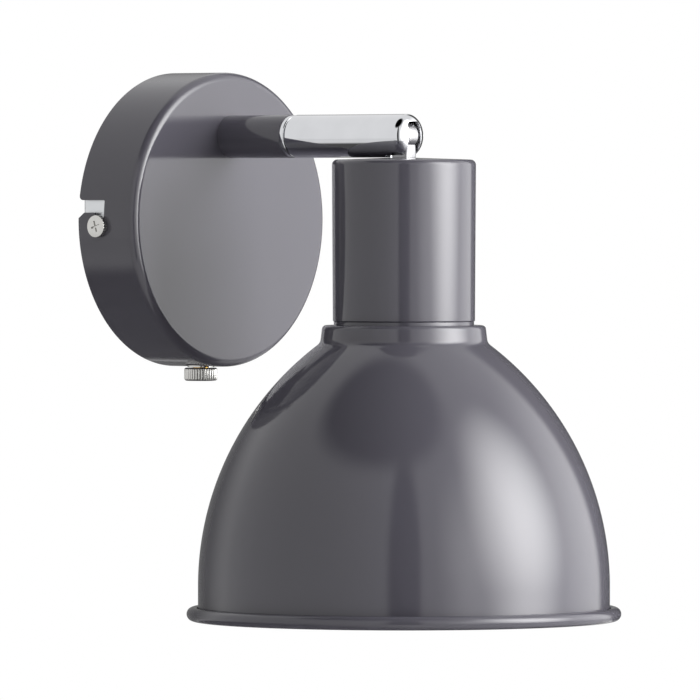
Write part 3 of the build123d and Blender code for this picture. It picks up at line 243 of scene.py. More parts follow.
class LampHeadSettings(bpy.types.PropertyGroup):
    """Sizes of the head's cup, neck and shade."""
    cup_radius: FloatProperty(name="Cup Radius", description="Radius of the lampholder cup at its top",
                              unit="LENGTH", default=26.5 * MM)
    cup_mouth: FloatProperty(name="Cup Mouth", description="Radius of the lampholder cup at its mouth",
                             unit="LENGTH", default=26.15 * MM)
    cup_wall: FloatProperty(name="Cup Wall", description="Wall of the lampholder cup", unit="LENGTH",
                            default=1.2 * MM)
    cup_top: FloatProperty(name="Cup Top", description="Height of the crown of the lampholder cup",
                           unit="LENGTH", default=22.9 * MM)
    cup_foot: FloatProperty(name="Cup Foot", description="Height of the lampholder cup's mouth", unit="LENGTH",
                            default=-37.3 * MM)
    cup_crown: FloatProperty(name="Cup Crown", description="Rise of the cup's top towards its middle",
                             unit="LENGTH", default=0.7 * MM)
    shade_top: FloatProperty(name="Shade Top", description="Height of the shade's collar", unit="LENGTH",
                             default=-38.65 * MM)
    sheet: FloatProperty(name="Shade Sheet", description="Thickness of the spun sheet", unit="LENGTH",
                         default=0.8 * MM)
    dome: FloatProperty(name="Dome Radius", description="Radius of the arc that the shade's side follows",
                        unit="LENGTH", default=111.5 * MM)
    collar_top: FloatProperty(name="Collar Top", description="Radius of the shade's collar at its top",
                              unit="LENGTH", default=30.2 * MM)
    collar_foot: FloatProperty(name="Collar Foot", description="Radius of the shade's collar at its foot",
                               unit="LENGTH", default=30.8 * MM)
    collar_height: FloatProperty(name="Collar Height", description="Height of the shade's collar",
                                 unit="LENGTH", default=6.55 * MM)
    collar_bend: FloatProperty(name="Collar Bend", description="Radius of the bend at the collar's foot",
                               unit="LENGTH", default=3.0 * MM)
    curl: FloatProperty(name="Rim Curl", description="Outer diameter of the curled rim", unit="LENGTH",
                        default=5.0 * MM)
    curl_turn: FloatProperty(name="Curl Turn", description="How far round the rim is curled", subtype="ANGLE",
                             default=math.radians(300))


class LampFinishSettings(bpy.types.PropertyGroup):
    """Colours of the lamp's finishes, as sRGB hex values."""
    enamel: StringProperty(name="Enamel", description="Colour of the stove enamel", default="#5F5D66")
    chrome: StringProperty(name="Chrome", description="Colour of the chrome plate", default="#D3D4D7")
    nickel: StringProperty(name="Nickel", description="Colour of the nickel plate", default="#C8C7C4")
    satin: StringProperty(name="Satin Nickel", description="Colour of the lug's satin nickel",
                          default="#A3A3A5")
    zinc: StringProperty(name="Zinc", description="Colour of the bright zinc plate", default="#D2D4D6")
    brass: StringProperty(name="Brass", description="Colour of the bare brass", default="#CDA75E")
    opal: StringProperty(name="Opal Glass", description="Colour of the bulb's opal glass", default="#F2F0EA")


class LampStageSettings(bpy.types.PropertyGroup):
    """The camera, the light and the floor."""
    azimuth: FloatProperty(name="Azimuth", description="Camera direction round the lamp", subtype="ANGLE",
                           default=math.radians(-50.0))
    elevation: FloatProperty(name="Elevation", description="Camera height over the horizon", subtype="ANGLE",
                             default=math.radians(0.955))
    distance: FloatProperty(name="Distance", description="Camera distance from the target", unit="LENGTH",
                            default=3.311)
    lens: FloatProperty(name="Lens", description="Focal length of the camera in millimetres", default=462.9)
    target: FloatVectorProperty(name="Target", description="Point at the middle of the picture", size=3,
                                unit="LENGTH", default=(-0.0131, -0.0965, -0.0478))
    floor_height: FloatProperty(name="Floor Height", description="Height of the floor", unit="LENGTH",
                                default=-0.42)
    key_power: FloatProperty(name="Key Power", description="Power of the large soft box in watts", default=12.0)
    key_shine: FloatProperty(name="Key Shine", description="Radiance of the soft box's middle in reflections",
                             default=11.0)
    fill_level: FloatProperty(name="Fill Level", description="Strength of the white surroundings' own light",
                              default=0.3)


SETTINGS = {
    "lamp_rose": LampRoseSettings,
    "lamp_arm": LampArmSettings,
    "lamp_head": LampHeadSettings,
    "lamp_finish": LampFinishSettings,
    "lamp_stage": LampStageSettings,
}


# ---------------------------------------------------------------- materials
def linear(hex_colour):
    """An sRGB hex colour as linear red, green, blue and alpha."""
    channels = [int(hex_colour[start:start + 2], 16) / 255 for start in (1, 3, 5)]
    return [c / 12.92 if c <= 0.04045 else ((c + 0.055) / 1.055) ** 2.4 for c in channels] + [1.0]


def add(tree, kind, inputs=None, **settings):
    """A new node of the kind with its settings; an input is a value or the socket that feeds it."""
    made = tree.nodes.new(kind)
    for name, value in settings.items():
        setattr(made, name, value)
    for name, value in (inputs or {}).items():
        if isinstance(value, bpy.types.NodeSocket):
            tree.links.new(value, made.inputs[name])
        else:
            made.inputs[name].default_value = value
    return made


def start_material(name):
    """An empty node material with its output; returns the material, its tree and the output."""
    material = bpy.data.materials.new(name)
    material.use_nodes = True
    material.node_tree.nodes.clear()
    output = add(material.node_tree, "ShaderNodeOutputMaterial")
    return material, material.node_tree, output


def object_noise(tree, size, detail=2.0):
    """Noise whose features are about size metres wide on the object."""
    place = add(tree, "ShaderNodeTexCoord").outputs["Object"]
    noise = add(tree, "ShaderNodeTexNoise", {"Vector": place, "Scale": 1 / size, "Detail": detail})
    return noise.outputs["Fac"]


def between(tree, factor, low, high):
    """Spread a 0 to 1 factor over the values from low to high."""
    return add(tree, "ShaderNodeMapRange", {"Value": factor, "To Min": low, "To Max": high}).outputs["Result"]


def bump(tree, height, depth):
    """Surface relief of the given depth in metres."""
    return add(tree, "ShaderNodeBump", {"Height": height, "Distance": depth, "Strength": 1.0}).outputs["Normal"]


def tinted(tree, factor, dark, light):
    """Colour that wanders between two hex colours."""
    mix = add(tree, "ShaderNodeMix", data_type="RGBA")
    tree.links.new(factor, mix.inputs["Factor"])
    mix.inputs["A"].default_value = linear(dark)
    mix.inputs["B"].default_value = linear(light)
    return next(socket for socket in mix.outputs if socket.type == "RGBA")


def shade_hex(hex_colour, factor):
    """The hex colour made lighter or darker by a factor."""
    channels = [int(hex_colour[start:start + 2], 16) for start in (1, 3, 5)]
    return "#" + "".join(f"{max(0, min(255, round(c * factor))):02X}" for c in channels)


def stove_enamel(colour):
    """Stove enamel, sprayed and baked on steel: one full gloss skin with a faint orange peel."""
    material, tree, output = start_material("stove_enamel_sprayed")
    drift = object_noise(tree, 38 * MM)
    peel = object_noise(tree, 1.6 * MM, 1.0)
    surface = add(tree, "ShaderNodeBsdfPrincipled", {
        "Base Color": tinted(tree, drift, shade_hex(colour, 0.985), shade_hex(colour, 1.015)),
        "Roughness": between(tree, drift, 0.07, 0.10),
        "IOR": 1.5,
        "Normal": bump(tree, peel, 0.0006 * MM),
    })
    tree.links.new(surface.outputs["BSDF"], output.inputs["Surface"])
    return material


def plated_metal(name, colour, rough_low, rough_high, grain, relief):
    """Plated metal: mirror-like where it is polished, with a grain as fine as its polishing left."""
    material, tree, output = start_material(name)
    wear = object_noise(tree, grain, 3.0)
    surface = add(tree, "ShaderNodeBsdfPrincipled", {
        "Base Color": tinted(tree, wear, shade_hex(colour, 0.97), shade_hex(colour, 1.02)),
        "Metallic": 1.0,
        "Roughness": between(tree, wear, rough_low, rough_high),
        "Normal": bump(tree, wear, relief),
    })
    tree.links.new(surface.outputs["BSDF"], output.inputs["Surface"])
    return material


def chrome_plate(colour):
    """Chromium on polished brass: a hard mirror with hardly any grain."""
    return plated_metal("chrome_plate_polished", colour, 0.02, 0.05, 9 * MM, 0.0004 * MM)


def satin_nickel(colour):
    """Satin nickel on a cast lug: blasted before plating, so it glows softly instead of mirroring."""
    return plated_metal("nickel_plate_satin", colour, 0.30, 0.36, 3 * MM, 0.002 * MM)


def nickel_plate(colour):
    """Nickel on turned brass: warmer than chrome and a little softer in its reflections."""
    return plated_metal("nickel_plate_turned", colour, 0.16, 0.26, 2 * MM, 0.002 * MM)


def zinc_plate(colour):
    """Bright zinc on punched steel strip: a silky, faintly cloudy grey."""
    return plated_metal("zinc_plate_bright", colour, 0.28, 0.42, 3 * MM, 0.004 * MM)


def bare_brass(colour):
    """Turned brass, left bare: yellow, with fine turning marks."""
    return plated_metal("brass_turned", colour, 0.22, 0.34, 1.2 * MM, 0.003 * MM)


def moulded_plastic(name, colour, roughness, speck):
    """Injection-moulded plastic: even colour, slight sheen and a fine mould texture."""
    material, tree, output = start_material(name)
    grain = object_noise(tree, speck, 2.0)
    surface = add(tree, "ShaderNodeBsdfPrincipled", {
        "Base Color": tinted(tree, grain, shade_hex(colour, 0.95), shade_hex(colour, 1.04)),
        "Roughness": between(tree, grain, roughness - 0.05, roughness + 0.05),
        "IOR": 1.49,
        "Normal": bump(tree, grain, 0.006 * MM),
    })
    tree.links.new(surface.outputs["BSDF"], output.inputs["Surface"])
    return material


def fired_steatite():
    """Unglazed steatite: chalky white with faint warm grains."""
    material, tree, output = start_material("steatite_fired")
    grain = object_noise(tree, 0.7 * MM, 4.0)
    surface = add(tree, "ShaderNodeBsdfPrincipled", {
        "Base Color": tinted(tree, grain, "#D8D4CA", "#EEEBE3"),
        "Roughness": between(tree, grain, 0.6, 0.75),
        "Normal": bump(tree, grain, 0.02 * MM),
    })
    tree.links.new(surface.outputs["BSDF"], output.inputs["Surface"])
    return material


def opal_glass(colour):
    """Opal glass, blown and acid-etched inside: milky, with a clear gloss on the outside."""
    material, tree, output = start_material("opal_glass_blown")
    cloud = object_noise(tree, 14 * MM, 2.0)
    surface = add(tree, "ShaderNodeBsdfPrincipled", {
        "Base Color": tinted(tree, cloud, shade_hex(colour, 0.985), shade_hex(colour, 1.0)),
        "Roughness": between(tree, cloud, 0.06, 0.10),
        "IOR": 1.5,
        "Subsurface Weight": 0.3,
        "Subsurface Radius": (0.004, 0.004, 0.004),
        "Subsurface Scale": 1.0,
    })
    tree.links.new(surface.outputs["BSDF"], output.inputs["Surface"])
    return material


def striped_wire():
    """PVC for the earth wire: green with two long yellow stripes."""
    material, tree, output = start_material("pvc_earth_extruded")
    place = add(tree, "ShaderNodeTexCoord").outputs["Object"]
    wave = add(tree, "ShaderNodeTexWave", {"Vector": place, "Scale": 1 / (7 * MM)}, bands_direction="X")
    band = add(tree, "ShaderNodeMath", {0: wave.outputs["Fac"], 1: 0.5}, operation="GREATER_THAN")
    surface = add(tree, "ShaderNodeBsdfPrincipled", {
        "Base Color": tinted(tree, band.outputs["Value"], "#3E8A2E", "#D9C53A"),
        "Roughness": between(tree, object_noise(tree, 1 * MM), 0.35, 0.45),
    })
    tree.links.new(surface.outputs["BSDF"], output.inputs["Surface"])
    return material


MATERIALS = {}


def make_materials(finish):
    """All the lamp's finishes, by the record's slot names."""
    MATERIALS.update({
        "grey_paint": stove_enamel(finish.enamel),
        "chrome": chrome_plate(finish.chrome),
        "zinc": zinc_plate(finish.zinc),
        "nickel": nickel_plate(finish.nickel),
        "satin": satin_nickel(finish.satin),
        "brass": bare_brass(finish.brass),
        "terminal_plastic": moulded_plastic("polyamide_moulded", "#DEDDD6", 0.45, 1.2 * MM),
        "black_plastic": moulded_plastic("phenolic_moulded", "#1B1B1C", 0.4, 1.0 * MM),
        "holder_plastic": moulded_plastic("polyester_moulded", "#E2E0DA", 0.38, 1.5 * MM),
        "ceramic": fired_steatite(),
        "opal_glass": opal_glass(finish.opal),
        "brown_wire": moulded_plastic("pvc_brown_extruded", "#5E3A24", 0.4, 0.8 * MM),
        "black_wire": moulded_plastic("pvc_black_extruded", "#202021", 0.4, 0.8 * MM),
        "blue_wire": moulded_plastic("pvc_blue_extruded", "#2F62B0", 0.4, 0.8 * MM),
        "earth_wire": striped_wire(),
        "white_cable": moulded_plastic("pvc_white_extruded", "#D8D8D4", 0.42, 0.9 * MM),
    })


def finish_nodes(slot, *nodes):
    """Give CAD nodes their finish."""
    for node in nodes:
        part = frame["nodes"][node]
        part.data.materials.clear()
        part.data.materials.append(MATERIALS[slot])


# ---------------------------------------------------------------- outlines and meshes
def arc(centre, radius, start, end, steps):
    """Points on an arc, angles in degrees, from start to end."""
    angles = [math.radians(start + (end - start) * step / steps) for step in range(steps + 1)]
    return [(centre[0] + radius * math.cos(a), centre[1] + radius * math.sin(a)) for a in angles]


def disc(radius, points):
    """Points of a full circle about the origin."""
    return arc((0, 0), radius, 0, 360 - 360 / points, points - 1)


def rounded(corners, radii, steps=8):
    """Corner points with some corners turned into arcs; radii maps a corner's place to its radius."""
    points = []
    for place, corner in enumerate(corners):
        radius = radii.get(place, 0)
        if not radius:
            points.append(corner)
            continue
        here = Vector(corner)
        before = (Vector(corners[place - 1]) - here).normalized()
        after = (Vector(corners[(place + 1) % len(corners)]) - here).normalized()
        half = before.angle(after) / 2
        reach = radius / math.tan(half)
        middle = here + (before + after).normalized() * (radius / math.sin(half))
        first = here + before * reach - middle
        last = here + after * reach - middle
        turn = first.angle_signed(last)
        for step in range(steps + 1):
            spoke = first.copy()
            spoke.rotate(Matrix.Rotation(-turn * step / steps, 2))
            points.append(tuple(middle + spoke))
    return points


def link_mesh(name, body):
    """Turn a bmesh into an object of the scene."""
    mesh = bpy.data.meshes.new(name)
    body.to_mesh(mesh)
    body.free()
    made = bpy.data.objects.new(name, mesh)
    bpy.context.scene.collection.objects.link(made)
    return made


def smooth(mesh):
    """Shade a mesh smooth up to its sharp edges."""
    mesh.shade_smooth()
    mesh.set_sharp_from_angle(angle=SMOOTH_ANGLE)


def mesh_object(name, body, slot, replaced):
    """Finish a bmesh as one named piece, riding on the body of the node that it replaces."""
    bmesh.ops.recalc_face_normals(body, faces=body.faces)
    piece = link_mesh(name, body)
    smooth(piece.data)
    piece.data.materials.append(MATERIALS[slot])
    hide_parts(*replaced)
    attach(piece, frame["nodes"][replaced[0]]["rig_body"])
    return piece


def lathe_into(body, outline, place=Matrix.Identity(4), steps=TURN_STEPS, closed=True, radius_at=None):
    """Turn an outline of (radius, height) points about Z into a bmesh, then put it in place."""
    rings = []
    for row, (radius, height) in enumerate(outline):
        if radius < NO_RADIUS:
            rings.append([body.verts.new(place @ Vector((0, 0, height)))])
            continue
        ring = []
        for step in range(steps):
            angle = 2 * math.pi * step / steps
            actual = radius_at(row, radius, angle) if radius_at else radius
            point = Vector((actual * math.cos(angle), actual * math.sin(angle), height))
            ring.append(body.verts.new(place @ point))
        rings.append(ring)
    pairs = list(zip(rings, rings[1:] + rings[:1])) if closed else list(zip(rings, rings[1:]))
    for lower, upper in pairs:
        for step in range(steps):
            following = (step + 1) % steps
            corners = [lower[step % len(lower)], lower[following % len(lower)],
                       upper[following % len(upper)], upper[step % len(upper)]]
            corners = list(dict.fromkeys(corners))
            if len(corners) > 2:
                body.faces.new(corners)
    return body


def lathe(name, outline, slot, replaced, place=Matrix.Identity(4), **options):
    """One turned piece."""
    return mesh_object(name, lathe_into(bmesh.new(), outline, place, **options), slot, replaced)


def prism(outline, depth, place):
    """An object from a flat outline pushed to both sides of its plane; used for shaping others."""
    body = bmesh.new()
    lower = [body.verts.new(place @ Vector((x, y, -depth))) for x, y in outline]
    upper = [body.verts.new(place @ Vector((x, y, depth))) for x, y in outline]
    body.faces.new(lower)
    body.faces.new(upper)
    for index in range(len(outline)):
        following = (index + 1) % len(outline)
        body.faces.new([lower[index], lower[following], upper[following], upper[index]])
    bmesh.ops.recalc_face_normals(body, faces=body.faces)
    return link_mesh("shaper", body)


def bevel(piece, width, segments):
    """Round a piece's sharp edges, as a modifier."""
    edge = piece.modifiers.new("edge", "BEVEL")
    edge.width = width
    edge.segments = segments
    edge.limit_method = "ANGLE"
    edge.angle_limit = BEVEL_ANGLE


def settled(piece):
    """The mesh that a piece's modifiers give."""
    shown = piece.evaluated_get(bpy.context.evaluated_depsgraph_get())
    return bpy.data.meshes.new_from_object(shown)


def shape_with(piece, shapers, edge=0.0):
    """Cut the shapers out of a piece, round its sharp edges a little and settle the result as its mesh."""
    for shaper in shapers:
        cut = piece.modifiers.new("cut", "BOOLEAN")
        cut.operation = "DIFFERENCE"
        cut.solver = "EXACT"
        cut.object = shaper
    if edge:
        bevel(piece, edge, 2)
    shaped = settled(piece)
    piece.modifiers.clear()
    piece.data = shaped
    smooth(shaped)
    # normals that follow the large faces keep flat and round faces clean beside their rounded edges
    weigh = piece.modifiers.new("normals", "WEIGHTED_NORMAL")
    weigh.keep_sharp = True
    bpy.context.view_layer.update()
    finished = settled(piece)
    piece.modifiers.clear()
    piece.data = finished
    for shaper in shapers:
        bpy.data.objects.remove(shaper)


def facing_out(height=0.0):
    """Place for something drawn along +Z that stands out from the wall."""
    return Matrix.Translation((0, 0, height)) @ Matrix.Rotation(QUARTER_TURN, 4, "X")


def on_arm():
    """Place for something drawn along +Z, from the wall outwards, on the arm's axis."""
    return facing_out(ARM_HEIGHT)


def on_head():
    """Place for something drawn about the head's axis in the lamp's own heights."""
    return Matrix.Translation((PIVOT.x, PIVOT.y, 0))


# ---------------------------------------------------------------- wall cup
def catch_outline(rose):
    """Outline of a catch, away from the wall and up: its mouth, its leg and the round seat of the screw."""
    half = rose.catch_width / 2
    front = rose.catch_depth + half
    top = rose.mouth_rise + half
    low = rose.mouth_rise - half
    lip = CATCH_MOUTH_RADIUS
    corner = CATCH_INNER_RADIUS
    outline = [(-OVERCUT, top + lip)] + arc((lip, top + lip), lip, 180, 270, 6)
    outline += arc((front - corner, top - corner), corner, 90, 0, 4)
    outline += arc((rose.catch_depth, -rose.screw_drop), half, 0, -180, 14)
    outline += [(front - rose.catch_width, low), (CATCH_SLANT, low), (0, low - CATCH_SLANT_DROP),
                (-OVERCUT, low - CATCH_SLANT_DROP)]
    return outline


def catch_shaper(rose, side):
    """Cutter for the catch on one side of the cup; the other side's is the same after half a turn."""
    place = Matrix(((0, 0, 1, -rose.radius), (-1, 0, 0, 0), (0, 1, 0, 0), (0, 0, 0, 1)))
    if side > 0:
        place = Matrix.Rotation(HALF_TURN, 4, "Y") @ place
    return prism(catch_outline(rose), CATCH_CUT, place)


def build_rose(rose):
    """The drawn dish with its two catches, and the holes for the arm and the switch."""
    inner = rose.radius - rose.sheet
    floor = rose.depth - rose.sheet
    corners = [(inner, 0), (rose.radius, 0), (rose.radius, rose.depth), (0, rose.depth), (0, floor),
               (inner, floor)]
    outline = rounded(corners, {2: rose.edge, 5: rose.edge - rose.sheet}, 14)
    middle = 0.3 * ROSE_OUTER_BREAK
    back = [(inner, ROSE_INNER_BREAK), (inner + ROSE_INNER_BREAK, 0), (rose.radius - ROSE_OUTER_BREAK, 0),
            (rose.radius - middle, middle), (rose.radius, ROSE_OUTER_BREAK)]
    piece = lathe("rose_shell", back + outline[2:], "grey_paint", ["rose_cover"], facing_out(),
                  steps=FINE_TURN_STEPS)
    arm_hole = prism(disc(ROSE_HOLE, 12), 3 * rose.sheet, Matrix.Translation((0, -rose.depth, 0)) @ on_arm())
    switch_place = Matrix.Translation((0, KNOB_DEPTH, -rose.radius))
    switch_hole = prism(disc(ROSE_HOLE, 24), 4 * rose.sheet, switch_place)
    shape_with(piece, [catch_shaper(rose, -1), catch_shaper(rose, 1), arm_hole, switch_hole], FINE_EDGE)


def knurl(count, depth, rows):
    """Radius rule of a straight knurl on some rows of an outline: round-backed ribs between sharp furrows."""
    def radius_at(row, radius, angle):
        """Radius of the outline's row at an angle."""
        if row not in rows:
            return radius
        phase = (angle * count / (2 * math.pi)) % 1.0
        return radius - depth * (1 - abs(math.sin(math.pi * phase)) ** KNURL_ROUNDNESS)
    return radius_at


def build_side_screws(rose):
    """Both knurled side screws, with cross recesses and plain shanks, as one piece like their node."""
    radius = (SCREWS_HIGH.y - SCREWS_LOW.y) / 2
    under = ROSE_HIGH.x + CLOSE
    height = SCREWS_HIGH.x - under
    edge = SCREW_EDGE
    outline = [(0, -SCREW_SHANK_LENGTH), (SCREW_SHANK_RADIUS, -SCREW_SHANK_LENGTH), (SCREW_SHANK_RADIUS, 0),
               (radius - edge, 0), (radius, 0.7 * edge), (radius, height - edge),
               (radius - 0.35 * edge, height - 0.3 * edge), (radius - edge, height), (0, height)]
    ribbed = knurl(SCREW_RIBS, SCREW_RIB_DEPTH, {4, 5})
    bar = [(-CROSS_REACH, -CROSS_HALF_WIDTH), (CROSS_REACH, -CROSS_HALF_WIDTH), (CROSS_REACH, CROSS_HALF_WIDTH),
           (-CROSS_REACH, CROSS_HALF_WIDTH)]
    body = bmesh.new()
    shapers = []
    for side in (-1, 1):
        seat = Matrix.Translation((side * under, -rose.catch_depth, side * rose.screw_drop))
        place = seat @ Matrix.Rotation(side * QUARTER_TURN, 4, "Y")
        lathe_into(body, outline, place, SCREW_RIBS * STEPS_PER_RIB, radius_at=ribbed)
        face = place @ Matrix.Translation((0, 0, height))
        shapers += [prism(bar, CROSS_DEPTH, face @ Matrix.Rotation(math.radians(turn), 4, "Z"))
                    for turn in CROSS_TURNS]
    shape_with(mesh_object("side_screws", body, "nickel", ["cover_screws"]), shapers)


def build_knob():
    """Straight-knurled knob of the switch, its lower edge rounded."""
    height = KNOB_HIGH.z - KNOB_LOW.z
    inner = KNOB_RADIUS - KNOB_EDGE
    back = [(KNOB_RADIUS - inset * MM, drop * MM) for inset, drop in KNOB_BACK_EDGE]
    outline = [(0, 0)] + back + [(KNOB_RADIUS, height - KNOB_EDGE)]
    outline += arc((inner, height - KNOB_EDGE), KNOB_EDGE, 15, 90, 5) + [(0, height)]
    place = Matrix.Translation((0, KNOB_DEPTH, KNOB_HIGH.z)) @ Matrix.Rotation(HALF_TURN, 4, "X")
    lathe("knurled_knob", outline, "nickel", ["switch_knob"], place, steps=KNOB_RIBS * STEPS_PER_RIB,
          radius_at=knurl(KNOB_RIBS, KNOB_RIB_DEPTH, {3, 4, 5, 6}))


# ---------------------------------------------------------------- arm
def build_socket(arm):
    """Painted tube between the cup and the swivel."""
    start = -SOCKET_HIGH.y
    end = -SOCKET_LOW.y
    corners = [(THREAD_BORE, start), (arm.radius, start), (arm.radius, end), (THREAD_BORE, end)]
    lathe("socket_tube", rounded(corners, {2: SOCKET_EDGE}, 4), "grey_paint", ["arm_socket"], on_arm())


def build_ring():
    """Chrome ring at the swivel, with the narrow hub that leaves a dark groove beside it."""
    start = -RING_HIGH.y
    end = -RING_LOW.y
    face = start + RING_WIDTH
    radius = (RING_HIGH.x - RING_LOW.x) / 2
    hub = radius - RING_HUB_STEP
    corners = [(THREAD_BORE, start), (radius, start), (radius, face), (hub, face), (hub, end),
               (THREAD_BORE, end)]
    lathe("swivel_collar", rounded(corners, RING_EDGES, 6), "chrome", ["swivel_ring"], on_arm())


def fork_shaper(arm):
    """Cutter of the fork's slot, open below and at the end, its upper corners round."""
    half = arm.slot_width / 2
    corners = [(-half, -FORK_BELOW), (half, -FORK_BELOW), (half, arm.slot_top), (-half, arm.slot_top)]
    outline = rounded(corners, {2: arm.slot_corner, 3: arm.slot_corner}, 6)
    middle = PIVOT.y + (arm.slot_back - FORK_FRONT) / 2
    place = Matrix(((1, 0, 0, 0), (0, 0, 1, middle), (0, 1, 0, PIVOT.z), (0, 0, 0, 1)))
    return prism(outline, (arm.slot_back + FORK_FRONT) / 2, place)


def pivot_shaper(arm):
    """Cutter of the pivot screw's sink on the right."""
    place = Matrix.Translation((arm.radius, PIVOT.y, PIVOT.z)) @ Matrix.Rotation(QUARTER_TURN, 4, "Y")
    return prism(disc(PIVOT_SINK_RADIUS, 48), PIVOT_SINK_DEPTH, place)


def build_tube(arm):
    """Chrome tube of the arm, with the fork's slot cut into its end."""
    start = -TUBE_HIGH.y
    end = -TUBE_LOW.y
    bore = arm.radius - arm.wall
    collar = start + TUBE_COLLAR_LENGTH
    corners = [(THREAD_BORE, start), (arm.radius, start), (arm.radius, end), (bore, end), (bore, collar),
               (THREAD_BORE, collar)]
    piece = lathe("arm_tube_chrome", rounded(corners, {1: TUBE_EDGE}, 6), "chrome", ["arm_tube"], on_arm(),
                  steps=FINE_TURN_STEPS)
    shape_with(piece, [fork_shaper(arm), pivot_shaper(arm)], FINE_EDGE)


def build_knuckle(arm):
    """Domed plug in the arm's end, forked by the slot."""
    shoulder = -TUBE_LOW.y
    inside = arm.radius - arm.wall - CLOSE
    way_end = shoulder - CABLE_WAY_END
    steps = 20
    dome = []
    for step in range(steps):
        angle = QUARTER_TURN * step / steps
        dome.append((arm.radius * math.cos(angle), shoulder + arm.dome_depth * math.sin(angle)))
    outline = [(CABLE_WAY_RADIUS, KNUCKLE_BACK), (inside, KNUCKLE_BACK), (inside, shoulder)] + dome
    outline += [(0, shoulder + arm.dome_depth), (0, way_end), (CABLE_WAY_RADIUS, way_end)]
    piece = lathe("arm_dome_chrome", outline, "chrome", ["arm_knuckle"], on_arm(), steps=FINE_TURN_STEPS)
    shape_with(piece, [fork_shaper(arm), pivot_shaper(arm)], DOME_EDGE)


def build_stem(arm):
    """Lug with its eye, the bar below it and the threaded stem in the cup."""
    eye = (STEM_HIGH.y - STEM_LOW.y) / 2
    foot = STEM_TOP - PIVOT.z - BAR_SINK
    join = -math.degrees(math.acos(BAR_HALF_DEPTH / eye))
    outline = [(BAR_HALF_DEPTH, foot)] + arc((0, 0), eye, join, 180 - join, 40) + [(-BAR_HALF_DEPTH, foot)]
    place = Matrix(((0, 0, 1, 0), (1, 0, 0, PIVOT.y), (0, 1, 0, PIVOT.z), (0, 0, 0, 1)))
    lug = prism(outline, LUG_HALF_THICKNESS, place)
    bevel(lug, arm.eye_edge, 5)
    body = bmesh.new()
    body.from_mesh(settled(lug))
    bpy.data.objects.remove(lug)
    stem = [(STEM_BORE, STEM_LOW.z), (THREAD_RADIUS, STEM_LOW.z)]
    for turn in range(STEM_TURNS):
        height = STEM_LOW.z + STEM_TOP_GAP + turn * STEM_PITCH
        stem += [(THREAD_RADIUS + out * MM, height + rise * MM) for out, rise in STEM_THREAD]
    stem += [(THREAD_RADIUS, STEM_TOP - STEM_TOP_GAP), (STEM_BORE, STEM_TOP - STEM_TOP_GAP)]
    lathe_into(body, stem, on_head(), 96)
    piece = mesh_object("knuckle_lug", body, "chrome", ["knuckle_stem"])
    piece.data.materials[0] = MATERIALS["satin"]


# ---------------------------------------------------------------- head
def build_cup(head):
    """Painted cup round the lampholder, its top a little crowned."""
    under = head.cup_top - CUP_TOP_SHEET
    corners = [(THREAD_BORE, under), (THREAD_BORE, head.cup_top),
               (head.cup_radius, head.cup_top - head.cup_crown), (head.cup_mouth, head.cup_foot),
               (head.cup_mouth - head.cup_wall, head.cup_foot), (head.cup_radius - head.cup_wall, under)]
    lathe("cup_shell", rounded(corners, CUP_EDGES, 12), "grey_paint", ["holder_cup"], on_head(),
          steps=FINE_TURN_STEPS)


def build_neck(head):
    """Painted spacer ring in the gap between the cup and the shade."""
    outer = (NECK_HIGH.x - NECK_LOW.x) / 2
    spigot = head.cup_mouth - head.cup_wall - NECK_PLAY
    inner = spigot - NECK_WALL
    low = head.shade_top + CLOSE
    shoulder = head.cup_foot - CLOSE
    corners = [(inner, low), (outer, low), (outer, shoulder), (spigot, shoulder), (spigot, NECK_HIGH.z),
               (inner, NECK_HIGH.z)]
    lathe("neck_spacer", rounded(corners, {2: NECK_EDGE}, 3), "grey_paint", ["neck_ring"], on_head())


def shade_face(head, inset):
    """One face of the shade's sheet, from its hole to the tip of the curl."""
    top = head.shade_top
    curl = head.curl / 2
    wall = SHADE_HIGH.x - head.curl
    rim = SHADE_LOW.z + curl
    centre = wall + head.sheet - head.dome
    foot = top - head.collar_height
    level = foot - math.sqrt(head.dome ** 2 - (head.collar_foot - centre) ** 2)
    radius = head.dome - inset
    lean = math.acos((head.collar_foot - inset - centre) / radius)
    corner = Vector((centre + radius * math.cos(lean), level + radius * math.sin(lean)))
    after = Vector((math.sin(lean), -math.cos(lean)))
    upper = Vector((head.collar_top - inset, top - COLLAR_EDGE))
    # the bend at the collar's foot takes this much of the dome's arc, and the arc begins just past it
    reach = (head.collar_bend + inset) * math.tan((corner - upper).angle(after) / 2)
    bend = rounded([tuple(upper), tuple(corner), tuple(corner + after * 3 * reach)],
                   {1: head.collar_bend + inset}, 10)
    begin = math.degrees(lean - 1.05 * reach / radius)
    line = [(SHADE_HOLE, top - inset)]
    line += arc((head.collar_top - COLLAR_EDGE, top - COLLAR_EDGE), COLLAR_EDGE - inset, 90, 0, 8)
    line += bend[1:-1]
    line += arc((centre, level), radius, begin, 0, 96)
    line += [(wall + head.sheet - inset, level - (level - rim) * step / 4) for step in range(1, 4)]
    turn = math.degrees(head.curl_turn)
    line += arc((wall + curl, rim), curl - head.sheet + inset, 180, 180 + turn, 40)
    return line


def build_shade(head):
    """Spun shade: collar, dome and curled rim."""
    outline = shade_face(head, 0) + shade_face(head, head.sheet)[::-1]
    lathe("shade_spun", outline, "grey_paint", ["shade"], on_head(), steps=SHADE_TURN_STEPS)


